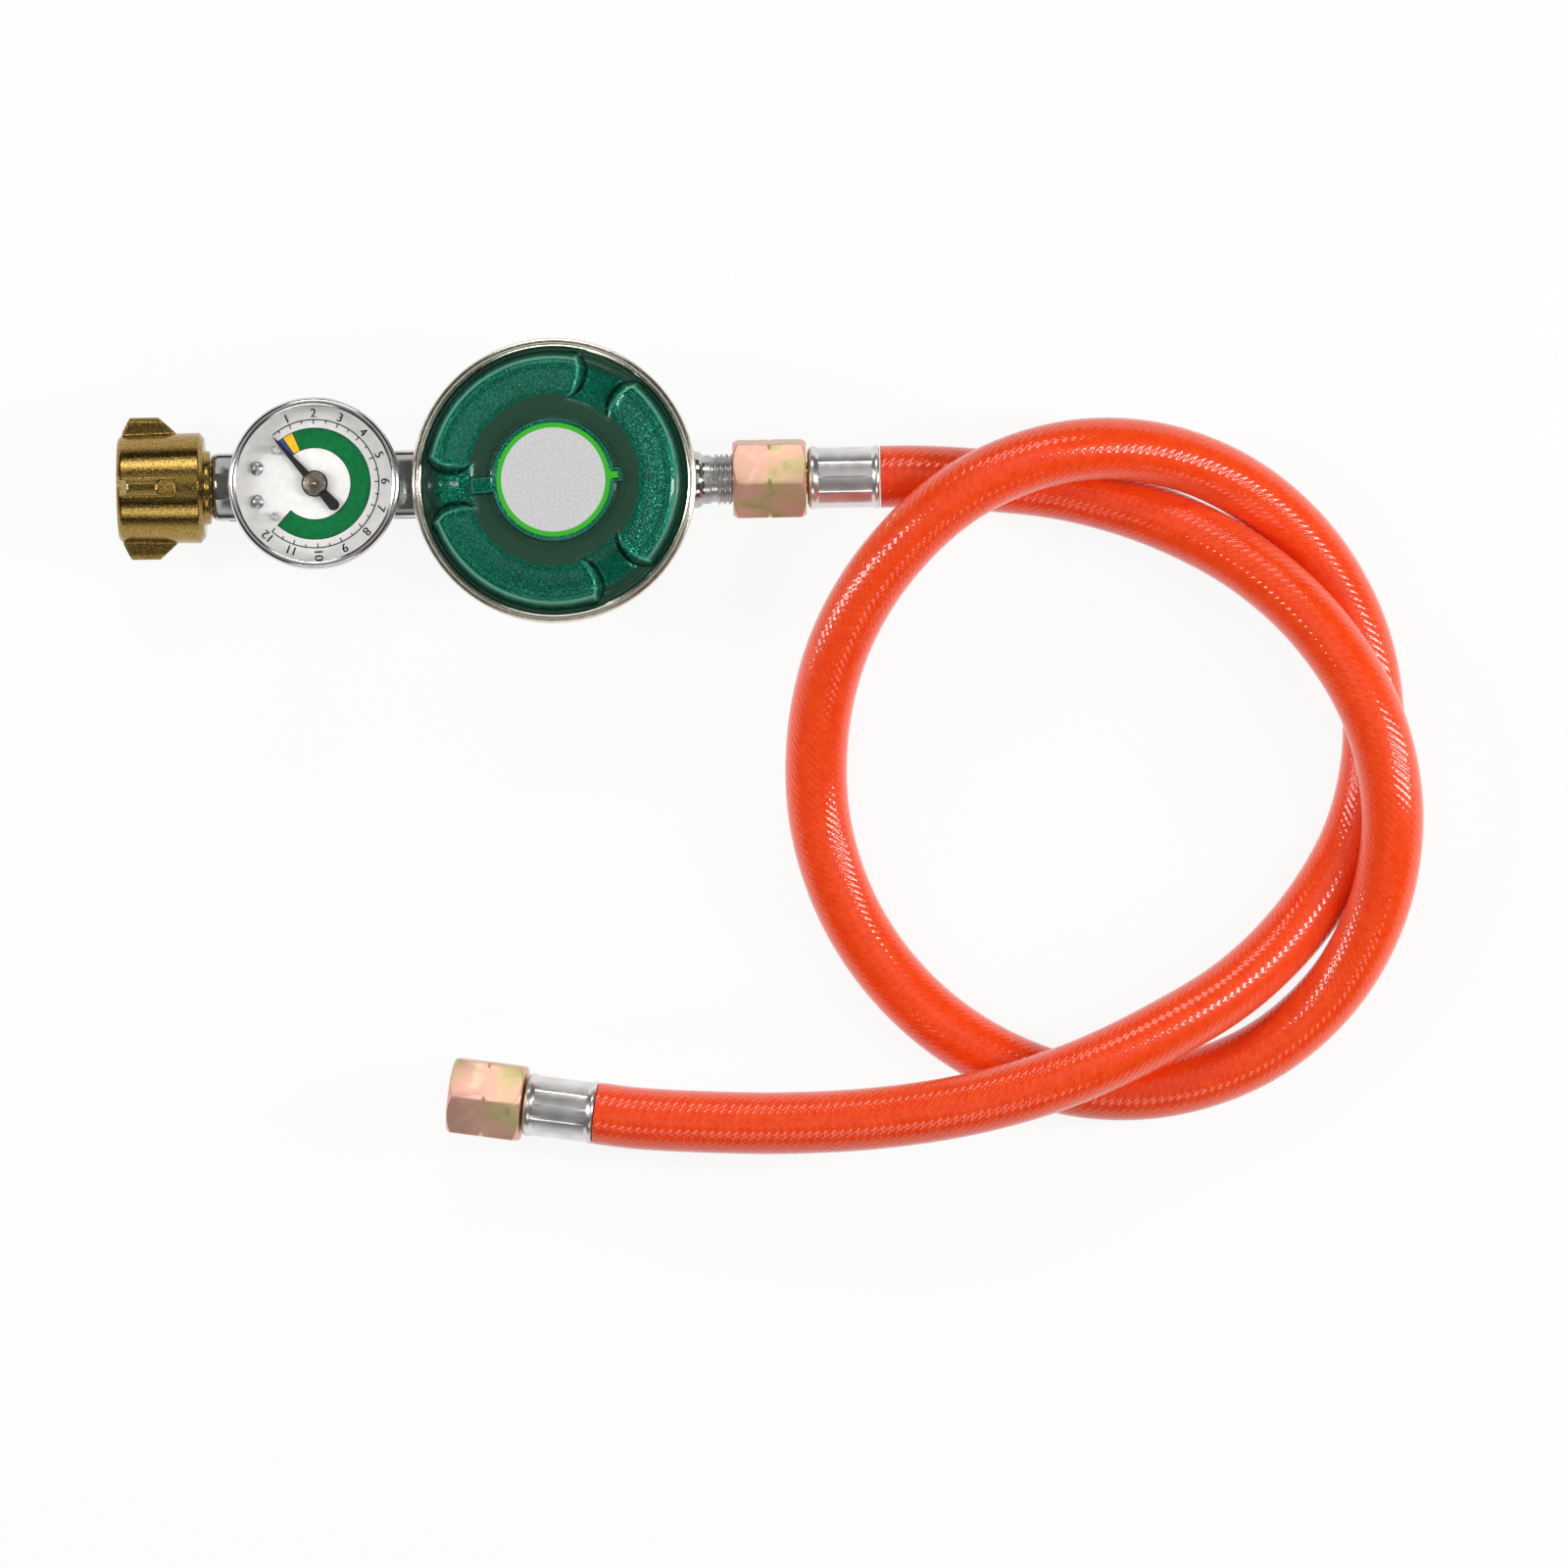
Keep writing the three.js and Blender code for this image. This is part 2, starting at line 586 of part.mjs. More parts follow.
// Teeth as flanks that narrow from root to tip, with backlash, round a hub or along a sector.
function gearOutline(teethFull, from, to, addendum, dedendum) {
  const pitchRadius = gearModule * teethFull / 2;
  const pitch = 2 * Math.PI / teethFull;
  const points = [];
  const put = (radius, angle) => points.push([radius * Math.cos(angle), radius * Math.sin(angle)]);
  for (let angle = from; angle < to - 1e-6; angle += pitch) {
    put(pitchRadius - dedendum, angle - pitch * 0.28);
    put(pitchRadius + addendum, angle - pitch * 0.09);
    put(pitchRadius + addendum, angle + pitch * 0.09);
    put(pitchRadius - dedendum, angle + pitch * 0.28);
  }
  return points;
}

function pinionArbor() {
  const teeth = raise(shapeOf(gearOutline(pinionTeeth, 0, 2 * Math.PI, 0.24, 0.4)), 35.8, 37.8);
  const arbor = revolve([[33, 0], [33, 0.6], [43.1, 0.6], [43.1, 0]], 'z', 8);
  const collar = rod(1.05, 34.4, 35.9, 'z', 10);
  return union(teeth.rotateZ(deg(90)), arbor, collar);
}

// Toothed sector: hub, web with teeth that swing past the pinion, and a short tail for the link.
function sectorGear() {
  const pitch = 2 * Math.PI / sectorTeethFull;
  const from = deg(90) - 8.5 * pitch;
  const teeth = gearOutline(sectorTeethFull, from, deg(90) + 2 * pitch, 0.24, 0.4);
  const rim = sectorRim(from - pitch * 0.5, deg(90) + 2.1 * pitch);
  const plate = new THREE.Shape([...teeth, ...rim].map(([x, y]) => new THREE.Vector2(x, y)));
  const hub = rod(1.7, 36.2, 37.2, 'z', 16);
  const web = raise(plate, 36.2, 37.2);
  const window = raise(ringSector(3.6, 8, deg(56), deg(88), 0.8), 36, 37.4, 3);
  const tail = raise(stadium([0, 0], [6, 0], 1.1), 36.2, 37.2, 5);
  const arbor = rod(0.8, 33, 40.5, 'z', 10);
  const tailPin = rod(0.5, 37, 38.6, 'z', 8).translate(6, 0, 0);
  return union(cut(web, window), hub, tail, arbor, tailPin).translate(0, -gearCentres, 0);
}

// The way back under the teeth: in to the hub and out again.
function sectorRim(from, to) {
  return [
    [9.6 * Math.cos(to), 9.6 * Math.sin(to)],
    [1.5 * Math.cos(to + 0.9), 1.5 * Math.sin(to + 0.9)],
    [1.5 * Math.cos(from - 0.9), 1.5 * Math.sin(from - 0.9)],
    [9.6 * Math.cos(from), 9.6 * Math.sin(from)],
  ];
}

const tailEnd = [6, -gearCentres];
const bourdonTip = [14, -5];

// Link from the sector's tail to the Bourdon tube's tip, where a slot leaves room for the open pivot.
function movementLink() {
  const outline = stadium(tailEnd, [13.9, -5.1], 1.35);
  const turn = Math.atan2(bourdonTip[1] - tailEnd[1], bourdonTip[0] - tailEnd[0]);
  const slide = 0.5;
  const middle = [13.66, -5.3];
  const slot = stadium(
    [middle[0] - slide * Math.cos(turn), middle[1] - slide * Math.sin(turn)],
    [middle[0] + slide * Math.cos(turn), middle[1] + slide * Math.sin(turn)],
    0.72,
  );
  const eye = rod(0.8, 37, 39, 'z', 10).translate(tailEnd[0], tailEnd[1], 0);
  return cut(raise(outline, 37.6, 38.2, 5), raise(slot, 37, 39, 5), eye);
}

// C-shaped tube that uncurls under pressure, with the lug at its tip.
function bourdonTube() {
  const tube = raise(ringArc(17.2, 18.8, deg(-16), deg(255)), 34.5, 39.5, 15);
  const lug = raise(stadium(bourdonTip, [17.2, -5.6], 1.1), 35.6, 36.4, 5);
  const joint = raise(ringArc(17.2, 18.8, deg(-22), deg(-14)), 35.6, 38.5, 2);
  const pin = rod(0.38, 36, 38.6, 'z', 8).translate(bourdonTip[0], bourdonTip[1], 0);
  return union(tube, joint, lug, pin);
}

// Brass socket: threaded shank into the arm, and the block that carries the tube and the movement.
function gaugeSocket() {
  const shank = revolve([
    [21.6, 0], [21.6, 4.4], [22.2, 5], [gaugeSeat + 1.2, 5], [gaugeSeat + 1.2, 6.4], [32.4, 6.4], [32.4, 0],
  ], 'z', 14);
  const arm = raise(stadium([0, 0], [-5.4, -16.8], 1.8), gaugeSeat + 1.3, 32.4, 5);
  const post = raise(ringArc(16.2, 19.4, deg(257), deg(268)), gaugeSeat + 1.3, 39.2, 2);
  const bore = rod(1, 20, 31.4, 'z', 8);
  return cut(union(shank, arm, post), bore);
}

const plateHoles = [[0, 0, 0.9], [0, -gearCentres, 1.1]];
const pillarPlaces = [[0, 3.9], [-2.4, -14]];

function movementPlate(z0, z1, pillars) {
  const plate = raise(stadium([0, 2.2], [0, -11.4], 3.9), z0, z1, 5);
  const holes = plateHoles.map(([x, y, r]) => rod(r, z0 - 1, z1 + 1, 'z', 10).translate(x, y, 0));
  if (!pillars) return cut(plate, holes);
  const posts = pillarPlaces.map(([x, y]) => rod(1.1, z0, 39.6, 'z', 10).translate(x, y, 0));
  return cut(union(plate, ...posts), holes);
}

// ---- hose fittings: a crimped ferrule, the tail inside it and the hexagon nut that turns on the tail ----
// Drawn along +X from the face of the hose outwards.
function ferrule() {
  return revolve([
    [0.3, 4.6], [0.3, 7.9], [0.9, 8.25], [1.8, 8.2], [3, 7.7], [14.2, 7.7], [15.4, 8.5], [17, 8.4],
    [18.8, 6.8], [18.8, 4.6],
  ], 'x', 16);
}

function hoseTail() {
  return revolve([
    [0.4, 2.8], [0.4, 4.2], [21.9, 4.2], [21.9, 6.6], [24.4, 6.6], [24.4, 5.7], [27.2, 4.95],
    [30.5, 3.9], [30.5, 2.8],
  ], 'x', 12);
}

function hoseNut(turn) {
  const cornerRadius = hexAcrossFlats / 2 / Math.cos(Math.PI / 6);
  const hexagon = rod(cornerRadius, 19.1, 38, 'x', 6).rotateX(turn);
  const chamfer = revolve([
    [19.1, 0], [19.1, 9.4], [20.5, 11.1], [27.5, 11.1], [28.55, 10], [29.6, 11.1], [36.6, 11.1],
    [38, 9.4], [38, 0],
  ], 'x', 16);
  const bore = revolve([
    [18, 0], [18, 4.6], [21.6, 4.6], [21.6, 6.9], [37, 6.9], [39, 8], [39, 0],
  ], 'x', 14);
  return cut(common(hexagon, chamfer), bore);
}

function fitting(prefix, place, direction, turn) {
  const group = new THREE.Group();
  group.position.copy(place);
  group.quaternion.setFromUnitVectors(new THREE.Vector3(1, 0, 0), direction.clone().normalize());
  group.add(piece(`${prefix}_ferrule`, ferrule(), 'steel'));
  group.add(piece(`${prefix}_hose_tail`, hoseTail(), 'turnedBrass'));
  group.add(piece(`${prefix}_hose_nut`, hoseNut(turn), 'yellowZinc'));
  return group;
}

// ---- hose: the middle of its section, from the regulator's ferrule to the free ferrule ----
const hoseRoute = [
  [83.8, 0, 18.6], [91.5, 0, 18.5], [99, -0.3, 17.5], [108.3, -1, 15.6], [133.2, -4.3, 12.4],
  [156.6, -11.9, 13.4], [178.3, -24.1, 18.4], [196.1, -41.1, 23.4], [208.8, -62.5, 25.8],
  [214, -86.7, 24.2], [210.8, -111.4, 18.6], [199.1, -133.6, 12.2], [180.1, -150, 9],
  [156.2, -158.3, 8.2], [131.3, -157.9, 8.1], [108.2, -148.8, 8.1], [88.7, -133.4, 8.2],
  [74.4, -112.8, 8.8], [66.9, -89, 10.6], [66.9, -64, 15.4], [73.7, -40.5, 22.4], [87.3, -19.8, 29],
  [106.3, -3.7, 32.7], [129.7, 5, 30.7], [154.3, 4.9, 22.8], [177.5, -4.3, 14.4], [195.8, -21.4, 9.8],
  [207.2, -43.7, 8.2], [210.3, -68.5, 8.1], [205.2, -93, 8.2], [192.5, -114.4, 10],
  [174.7, -131.9, 15.6], [153.3, -144.5, 21.8], [130.5, -154.6, 25.4], [106.5, -161.4, 24.6],
  [81.9, -165, 21.8], [57.1, -166.1, 19], [31.9, -165.3, 16.7], [18, -164.3, 15.1], [8, -162.9, 14.2],
].map(([x, y, z]) => new THREE.Vector3(x, y, z));

function hosePath() {
  return new THREE.CatmullRomCurve3(hoseRoute, false, 'centripetal');
}

function hose() {
  const section = new THREE.Shape();
  const sides = 9;
  for (let i = 0; i < sides; i += 1) {
    const angle = 2 * Math.PI * (i + 0.5) / sides;
    const corner = [hoseRadius * Math.cos(angle), hoseRadius * Math.sin(angle)];
    if (i === 0) section.moveTo(...corner);
    else section.lineTo(...corner);
  }
  section.closePath();
  return new THREE.ExtrudeGeometry(section, { steps: 44, extrudePath: hosePath() });
}

// ---- assembly ----
const regulator = new THREE.Group();
regulator.add(piece('regulator_body', regulatorBody(), 'castZinc'));
regulator.add(piece('cover', cover(), 'flakePaint'));
regulator.add(piece('crimp_ring', crimpRing(), 'nickelRing'));
regulator.add(piece('label_plate', label(), 'foil'));
regulator.add(piece('spring_adjuster', springAdjuster(), 'turnedBrass'));
regulator.add(piece('main_spring', coil(9.4, 0.85, 29.7, 40, 4, 8), 'springSteel'));
regulator.add(piece('diaphragm', diaphragm(), 'blackRubber'));
regulator.add(piece('diaphragm_plate', diaphragmPlate(), 'steel'));
regulator.add(piece('diaphragm_stem', diaphragmStem(), 'turnedBrass'));
regulator.add(piece('relief_spring', coil(3, 0.4, 29.8, 35.3, 3, 7), 'springSteel'));
regulator.add(piece('relief_nut', reliefNut(), 'turnedBrass'));
regulator.add(piece('valve_lever', valveLever(), 'steel'));
regulator.add(piece('lever_pin', leverPin(), 'steel'));
regulator.add(piece('valve_piston', valvePiston(), 'turnedBrass'));
regulator.add(piece('valve_pad', valvePad(), 'blackRubber'));
regulator.add(piece('valve_nozzle', valveNozzle(), 'turnedBrass'));

const inlet = new THREE.Group();
inlet.add(piece('inlet_wing_nut', wingNut(), 'forgedBrass'));
inlet.add(piece('inlet_nipple', inletNipple(), 'turnedBrass'));
inlet.add(piece('inlet_seal', inletSeal(), 'blackRubber'));
inlet.add(piece('inlet_filter', inletFilter(), 'turnedBrass'));
inlet.add(piece('excess_flow_poppet', excessFlowPoppet(), 'turnedBrass'));
inlet.add(piece('excess_flow_spring', excessFlowSpring(), 'springSteel'));

const gauge = new THREE.Group();
gauge.position.set(gaugeX, 0, 0);
gauge.add(piece('gauge_case', gaugeCase(), 'chrome'));
gauge.add(piece('gauge_bezel', gaugeBezel(), 'chrome'));
gauge.add(piece('gauge_window', gaugeWindow(), 'clearPlastic'));
gauge.add(piece('gauge_dial', gaugeDial(), 'whiteEnamel'));
rivetPlaces.forEach((place, i) => gauge.add(piece(`dial_rivet_${i + 1}`, dialRivet(place), 'steel')));
stopPinPlaces.forEach((place, i) => gauge.add(piece(`stop_pin_${i + 1}`, stopPin(place), 'clearPlastic')));
gauge.add(piece('gauge_pointer', pointer(), 'blackEnamel'));
gauge.add(piece('pointer_cap', pointerCap(), 'steel'));
gauge.add(piece('pinion_arbor', pinionArbor(), 'turnedBrass'));
gauge.add(piece('sector_gear', sectorGear(), 'turnedBrass'));
gauge.add(piece('movement_link', movementLink(), 'turnedBrass'));
gauge.add(piece('bourdon_tube', bourdonTube(), 'turnedBrass'));
gauge.add(piece('gauge_socket', gaugeSocket(), 'turnedBrass'));
gauge.add(piece('movement_lower_plate', movementPlate(33.4, 34.2, true), 'turnedBrass'));
gauge.add(piece('movement_upper_plate', movementPlate(39.9, 40.6, false), 'turnedBrass'));

const path = hosePath();
const near = new THREE.Vector3(hoseStartX, 0, flowHeight);
const part = new THREE.Group();
part.add(regulator, inlet, gauge);
part.add(fitting('outlet', near, new THREE.Vector3(-1, 0, 0), deg(8.4)));
part.add(piece('gas_hose', hose(), 'hoseRubber'));
part.add(fitting('free', path.getPointAt(1), path.getTangentAt(1), deg(-4.5)));

export default part;
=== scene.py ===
import math

import bpy
from mathutils import Matrix, Vector


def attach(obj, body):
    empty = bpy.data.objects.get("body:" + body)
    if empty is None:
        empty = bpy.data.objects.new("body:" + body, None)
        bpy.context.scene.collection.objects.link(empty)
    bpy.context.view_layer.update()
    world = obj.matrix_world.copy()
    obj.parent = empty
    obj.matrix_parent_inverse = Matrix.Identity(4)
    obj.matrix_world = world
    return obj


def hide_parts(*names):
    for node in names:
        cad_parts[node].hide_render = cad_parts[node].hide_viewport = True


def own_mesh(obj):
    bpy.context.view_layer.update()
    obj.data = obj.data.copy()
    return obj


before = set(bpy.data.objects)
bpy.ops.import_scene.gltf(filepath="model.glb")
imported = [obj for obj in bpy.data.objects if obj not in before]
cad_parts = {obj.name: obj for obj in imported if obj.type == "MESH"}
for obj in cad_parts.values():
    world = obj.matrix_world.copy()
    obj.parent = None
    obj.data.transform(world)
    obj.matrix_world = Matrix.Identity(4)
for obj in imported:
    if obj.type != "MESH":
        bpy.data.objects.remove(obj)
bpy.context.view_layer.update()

mm = 0.001  # sizes below are in mm, but the hose, the camera and the lamps are set in metres
weldGap = 2e-6  # metres, points closer than this become one
tinyGap = 1e-6  # the same, after a cut or a screw
flowHeight = 18.6
flowLine = Vector((0, 0, flowHeight)) * mm  # middle of the gas way, above the table
gaugeMiddle = Vector((-61, 0, 0)) * mm
scene = bpy.context.scene
scene.view_settings.view_transform = "Standard"


# Working helpers

def pickOnly(piece):
    bpy.ops.object.select_all(action="DESELECT")
    piece.select_set(True)
    bpy.context.view_layer.objects.active = piece


def applyPlace(piece):
    pickOnly(piece)
    bpy.ops.object.transform_apply(location=True, rotation=True, scale=True)


def movePiece(piece, matrix):
    piece.matrix_world = matrix
    applyPlace(piece)
    return piece


# The piece that the last operator added
def newest(name):
    piece = bpy.context.object
    piece.name = name
    return piece


def selectAll():
    bpy.ops.mesh.select_all(action="SELECT")


def editAll(piece):
    pickOnly(piece)
    bpy.ops.object.mode_set(mode="EDIT")
    selectAll()


# Leaves edit mode with every face turned outwards
def leaveOutward():
    selectAll()
    bpy.ops.mesh.normals_make_consistent(inside=False)
    bpy.ops.object.mode_set(mode="OBJECT")


# One point is drawn out into a chain of points in metres. The piece stays in edit mode, all selected.
def drawChain(name, places):
    bpy.ops.mesh.primitive_plane_add(size=mm)
    piece = newest(name)
    editAll(piece)
    bpy.ops.mesh.merge(type="CENTER")
    bpy.ops.transform.translate(value=places[0])
    for here, there in zip(places, places[1:]):
        bpy.ops.mesh.extrude_region_move(TRANSFORM_OT_translate={"value": there - here})
    selectAll()
    return piece


# An outline of (along, radius) in mm is spun about its axis. A ring's outline closes on itself.
def spinOutline(name, outline, axis="Z", steps=96, ring=False):
    places = [Vector((r, 0, a)) * mm if axis == "Z" else Vector((a, 0, r)) * mm for a, r in outline]
    if ring:
        places.append(places[0].copy())
    piece = drawChain(name, places)
    bpy.ops.mesh.remove_doubles(threshold=weldGap)
    selectAll()
    about = (0, 0, 1) if axis == "Z" else (1, 0, 0)
    bpy.ops.mesh.spin(steps=steps, angle=2 * math.pi, center=(0, 0, 0), axis=about)
    selectAll()
    bpy.ops.mesh.remove_doubles(threshold=weldGap)
    leaveOutward()
    return piece


def spinAt(place, name, outline, **settings):
    return movePiece(spinOutline(name, outline, **settings), Matrix.Translation(place))


def alongFlow(name, outline, steps):
    return spinAt(flowLine, name, outline, axis="X", steps=steps)


def addBlock(name, low, high):
    low, high = Vector(low) * mm, Vector(high) * mm
    bpy.ops.mesh.primitive_cube_add(size=1, location=(low + high) / 2, scale=high - low)
    piece = newest(name)
    applyPlace(piece)
    return piece


# Cuts off what lies beyond a plane, and closes the cut
def sliceOff(piece, place, away):
    editAll(piece)
    bpy.ops.mesh.bisect(plane_co=Vector(place) * mm, plane_no=Vector(away).normalized(), use_fill=True,
                        clear_outer=True)
    bpy.ops.object.mode_set(mode="OBJECT")


def applyModifier(piece, kind, **settings):
    pickOnly(piece)
    added = piece.modifiers.new("step", kind)
    for key, value in settings.items():
        setattr(added, key, value)
    bpy.ops.object.modifier_apply(modifier=added.name)


def combine(piece, operation, *tools):
    for tool in tools:
        applyModifier(piece, "BOOLEAN", operation=operation, object=tool, solver="EXACT")
        bpy.data.objects.remove(tool)


def breakEdges(piece, width, segments=2, angle=32):
    applyModifier(piece, "BEVEL", width=width * mm, segments=segments, limit_method="ANGLE",
                  angle_limit=math.radians(angle), miter_outer="MITER_ARC")


def drawScrew(piece, axis, turns, rise, stepsPerTurn):
    steps = int(abs(turns) * stepsPerTurn)
    applyModifier(piece, "SCREW", axis=axis, angle=2 * math.pi * turns, screw_offset=rise * mm, steps=steps,
                  render_steps=steps, use_merge_vertices=False, use_smooth_shade=False)


def joinPieces(first, *others):
    bpy.ops.object.select_all(action="DESELECT")
    for piece in (first, *others):
        piece.select_set(True)
    bpy.context.view_layer.objects.active = first
    bpy.ops.object.join()
    return first


def finishPiece(piece, material, replaced=(), body="root", smooth=30):
    piece.data.materials.clear()
    piece.data.materials.append(material)
    pickOnly(piece)
    bpy.ops.object.shade_smooth_by_angle(angle=math.radians(smooth))
    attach(piece, body)
    if replaced:
        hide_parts(*replaced)
    return piece


# Spins a piece, puts it in its place and gives it its finish
def spunPiece(place, name, outline, finish, slot, replaced=(), body="root", **settings):
    return finishPiece(spinAt(place, name, outline, **settings), finish, replaced, body)


# Working helpers for materials: most give back the output that the next one takes

# sRGB hex as written on a colour chart, to Blender's linear values
def linearColour(hexText):
    parts = [int(hexText[i:i + 2], 16) / 255 for i in (0, 2, 4)]
    return tuple(c / 12.92 if c <= 0.04045 else ((c + 0.055) / 1.055) ** 2.4 for c in parts) + (1.0,)


def newMaterial(name, settings):
    material = bpy.data.materials.new(name)
    material.use_nodes = True
    tree = material.node_tree
    shader = tree.nodes["Principled BSDF"]
    for key, value in settings.items():
        shader.inputs[key].default_value = value
    return material, tree, shader


def addNode(tree, kind, settings=None, links=None):
    made = tree.nodes.new(kind)
    for key, value in (settings or {}).items():
        if isinstance(key, int) or key in made.inputs:
            made.inputs[key].default_value = value
        else:
            setattr(made, key, value)
    for key, source in (links or {}).items():
        tree.links.new(source, made.inputs[key])
    return made


def plugIn(tree, target, sources):
    for key, source in sources.items():
        tree.links.new(source, target.inputs[key])


def objectPlace(tree):
    return addNode(tree, "ShaderNodeTexCoord").outputs["Object"]


def addNoise(tree, place, scale, detail, **more):
    settings = {"Scale": scale, "Detail": detail, **more}
    return addNode(tree, "ShaderNodeTexNoise", settings, {"Vector": place}).outputs["Fac"]


# First and last stop are the ramp's ends
def addRamp(tree, factor, stops):
    node = addNode(tree, "ShaderNodeValToRGB", links={"Fac": factor})
    elements = node.color_ramp.elements
    for element, (position, colour) in zip(elements, (stops[0], stops[-1])):
        element.position = position
        element.color = linearColour(colour)
    for position, colour in stops[1:-1]:
        elements.new(position).color = linearColour(colour)
    return node.outputs["Color"]


def addRange(tree, value, low, high, start=0.0, end=1.0):
    settings = {"From Min": start, "From Max": end, "To Min": low, "To Max": high}
    return addNode(tree, "ShaderNodeMapRange", settings, {"Value": value}).outputs["Result"]


# Each value is a number or an output
def addMath(tree, operation, *values):
    numbers = {i: v for i, v in enumerate(values) if isinstance(v, (int, float))}
    sources = {i: v for i, v in enumerate(values) if i not in numbers}
    return addNode(tree, "ShaderNodeMath", {"operation": operation, **numbers}, sources).outputs[0]


def tint(tree, factor, base, colour):
    node = addNode(tree, "ShaderNodeMix", {"data_type": "RGBA"}, {0: factor, 6: base})
    node.inputs[7].default_value = linearColour(colour)
    return node.outputs[2]


def addBump(tree, height, strength, depth=0.1):
    settings = {"Strength": strength, "Distance": depth * mm}
    return addNode(tree, "ShaderNodeBump", settings, {"Height": height}).outputs["Normal"]


# Distance from the dome's axis
def fromAxis(tree, place):
    inPlan = addNode(tree, "ShaderNodeVectorMath", {"operation": "MULTIPLY", 1: (1.0, 1.0, 0.0)}, {0: place})
    reach = addNode(tree, "ShaderNodeVectorMath", {"operation": "LENGTH"}, {0: inPlan.outputs[0]})
    return reach.outputs["Value"]


def splitPlace(tree, place):
    return addNode(tree, "ShaderNodeSeparateXYZ", links={0: place}).outputs


# Camera: straight above, as the photograph was taken

cameraSettings = {
    "place": (0.05768, -0.07875, 3.0186),
    "roll": -0.946,
    "lens": 267.3,
}


def makeCamera():
    data = bpy.data.cameras.new("camera")
    data.sensor_fit = "HORIZONTAL"
    data.sensor_width = 36
    data.lens = cameraSettings["lens"]
    data.clip_start = 0.01
    data.clip_end = 20
    camera = bpy.data.objects.new("camera", data)
    camera.location = cameraSettings["place"]
    camera.rotation_euler = (0, 0, math.radians(cameraSettings["roll"]))
    scene.collection.objects.link(camera)
    scene.camera = camera


makeCamera()
print("camera placed")


# Hose: orange rubber with a braid under its skin

hoseSettings = {
    "radius": 0.008,
    "length": 0.910,
    "sides": 32,
    "stepsPerStretch": 12,
    "yarnStep": 0.0021,  # metres between yarns, seen in the highlight
    "yarnsRound": 24,
    "otherHand": 0.3,  # how much the yarns that lean the other way show
    "route": [  # middle of the hose, mm
        (83.8, 0, 18.6), (91.5, 0, 18.5), (99, -0.3, 17.5), (108.3, -1, 15.6), (133.2, -4.3, 12.4),
        (156.6, -11.9, 13.4), (178.3, -24.1, 18.4), (196.1, -41.1, 23.4), (208.8, -62.5, 25.8),
        (214, -86.7, 24.2), (210.8, -111.4, 18.6), (199.1, -133.6, 12.2), (180.1, -150, 9),
        (156.2, -158.3, 8.2), (131.3, -157.9, 8.1), (108.2, -148.8, 8.1), (88.7, -133.4, 8.2),
        (74.4, -112.8, 8.8), (66.9, -89, 10.6), (66.9, -64, 15.4), (73.7, -40.5, 22.4),
        (87.3, -19.8, 29), (106.3, -3.7, 32.7), (129.7, 5, 30.7), (154.3, 4.9, 22.8),
        (177.5, -4.3, 14.4), (195.8, -21.4, 9.8), (207.2, -43.7, 8.2), (210.3, -68.5, 8.1),
        (205.2, -93, 8.2), (192.5, -114.4, 10), (174.7, -131.9, 15.6), (153.3, -144.5, 21.8),
        (130.5, -154.6, 25.4), (106.5, -161.4, 24.6), (81.9, -165, 21.8), (57.1, -166.1, 19),
        (31.9, -165.3, 16.7), (18, -164.3, 15.1), (8, -162.9, 14.2),
    ],
}


# Smooth curve through the route: each stretch is bent by its neighbours, by the root of their distance
def hoseLine():
    points = [Vector(p) * mm for p in hoseSettings["route"]]
    ahead = [2 * points[0] - points[1]] + points + [2 * points[-1] - points[-2]]
    steps = hoseSettings["stepsPerStretch"]
    line = []
    for i in range(1, len(ahead) - 2):
        p0, p1, p2, p3 = ahead[i - 1:i + 3]
        d0, d1, d2 = [math.sqrt((b - a).length) for a, b in ((p0, p1), (p1, p2), (p2, p3))]
        start = ((p1 - p0) / d0 - (p2 - p0) / (d0 + d1) + (p2 - p1) / d1) * d1
        end = ((p2 - p1) / d1 - (p3 - p1) / (d1 + d2) + (p3 - p2) / d2) * d1
        for k in range(steps):
            t = k / steps
            bend = p1 + start * t + (3 * (p2 - p1) - 2 * start - end) * t ** 2
            line.append(bend + (2 * (p1 - p2) + start + end) * t ** 3)
    line.append(points[-1])
    return line


def makeHose(line):
    sides, radius = hoseSettings["sides"], hoseSettings["radius"]
    run = [0.0]
    for a, b in zip(line, line[1:]):
        run.append(run[-1] + (b - a).length)
    side = Vector((0, 0, 1))
    vertices, faces, places = [], [], []
    for i, middle in enumerate(line):
        along = (line[min(i + 1, len(line) - 1)] - line[max(i - 1, 0)]).normalized()
        side = (side - along * side.dot(along)).normalized()
        across = along.cross(side)
        for k in range(sides):
            turn = 2 * math.pi * k / sides
            vertices.append(middle + (side * math.cos(turn) + across * math.sin(turn)) * radius)
    for i in range(len(line) - 1):
        for k in range(sides):
            j = (k + 1) % sides
            faces.append((i * sides + k, i * sides + j, (i + 1) * sides + j, (i + 1) * sides + k))
            places.append([(run[i + a], (k + b) / sides) for a, b in ((0, 0), (0, 1), (1, 1), (1, 0))])
    last = (len(line) - 1) * sides
    for ends in (list(range(sides))[::-1], [last + k for k in range(sides)]):
        faces.append(ends)
        places.append([(0.0, 0.0)] * sides)
    mesh = bpy.data.meshes.new("hose")
    mesh.from_pydata([tuple(v) for v in vertices], [], faces)
    layer = mesh.uv_layers.new(name="hoseRun")
    layer.data.foreach_set("uv", [value for corners in places for corner in corners for value in corner])
    mesh.update()
    piece = bpy.data.objects.new("hose", mesh)
    scene.collection.objects.link(piece)
    return piece


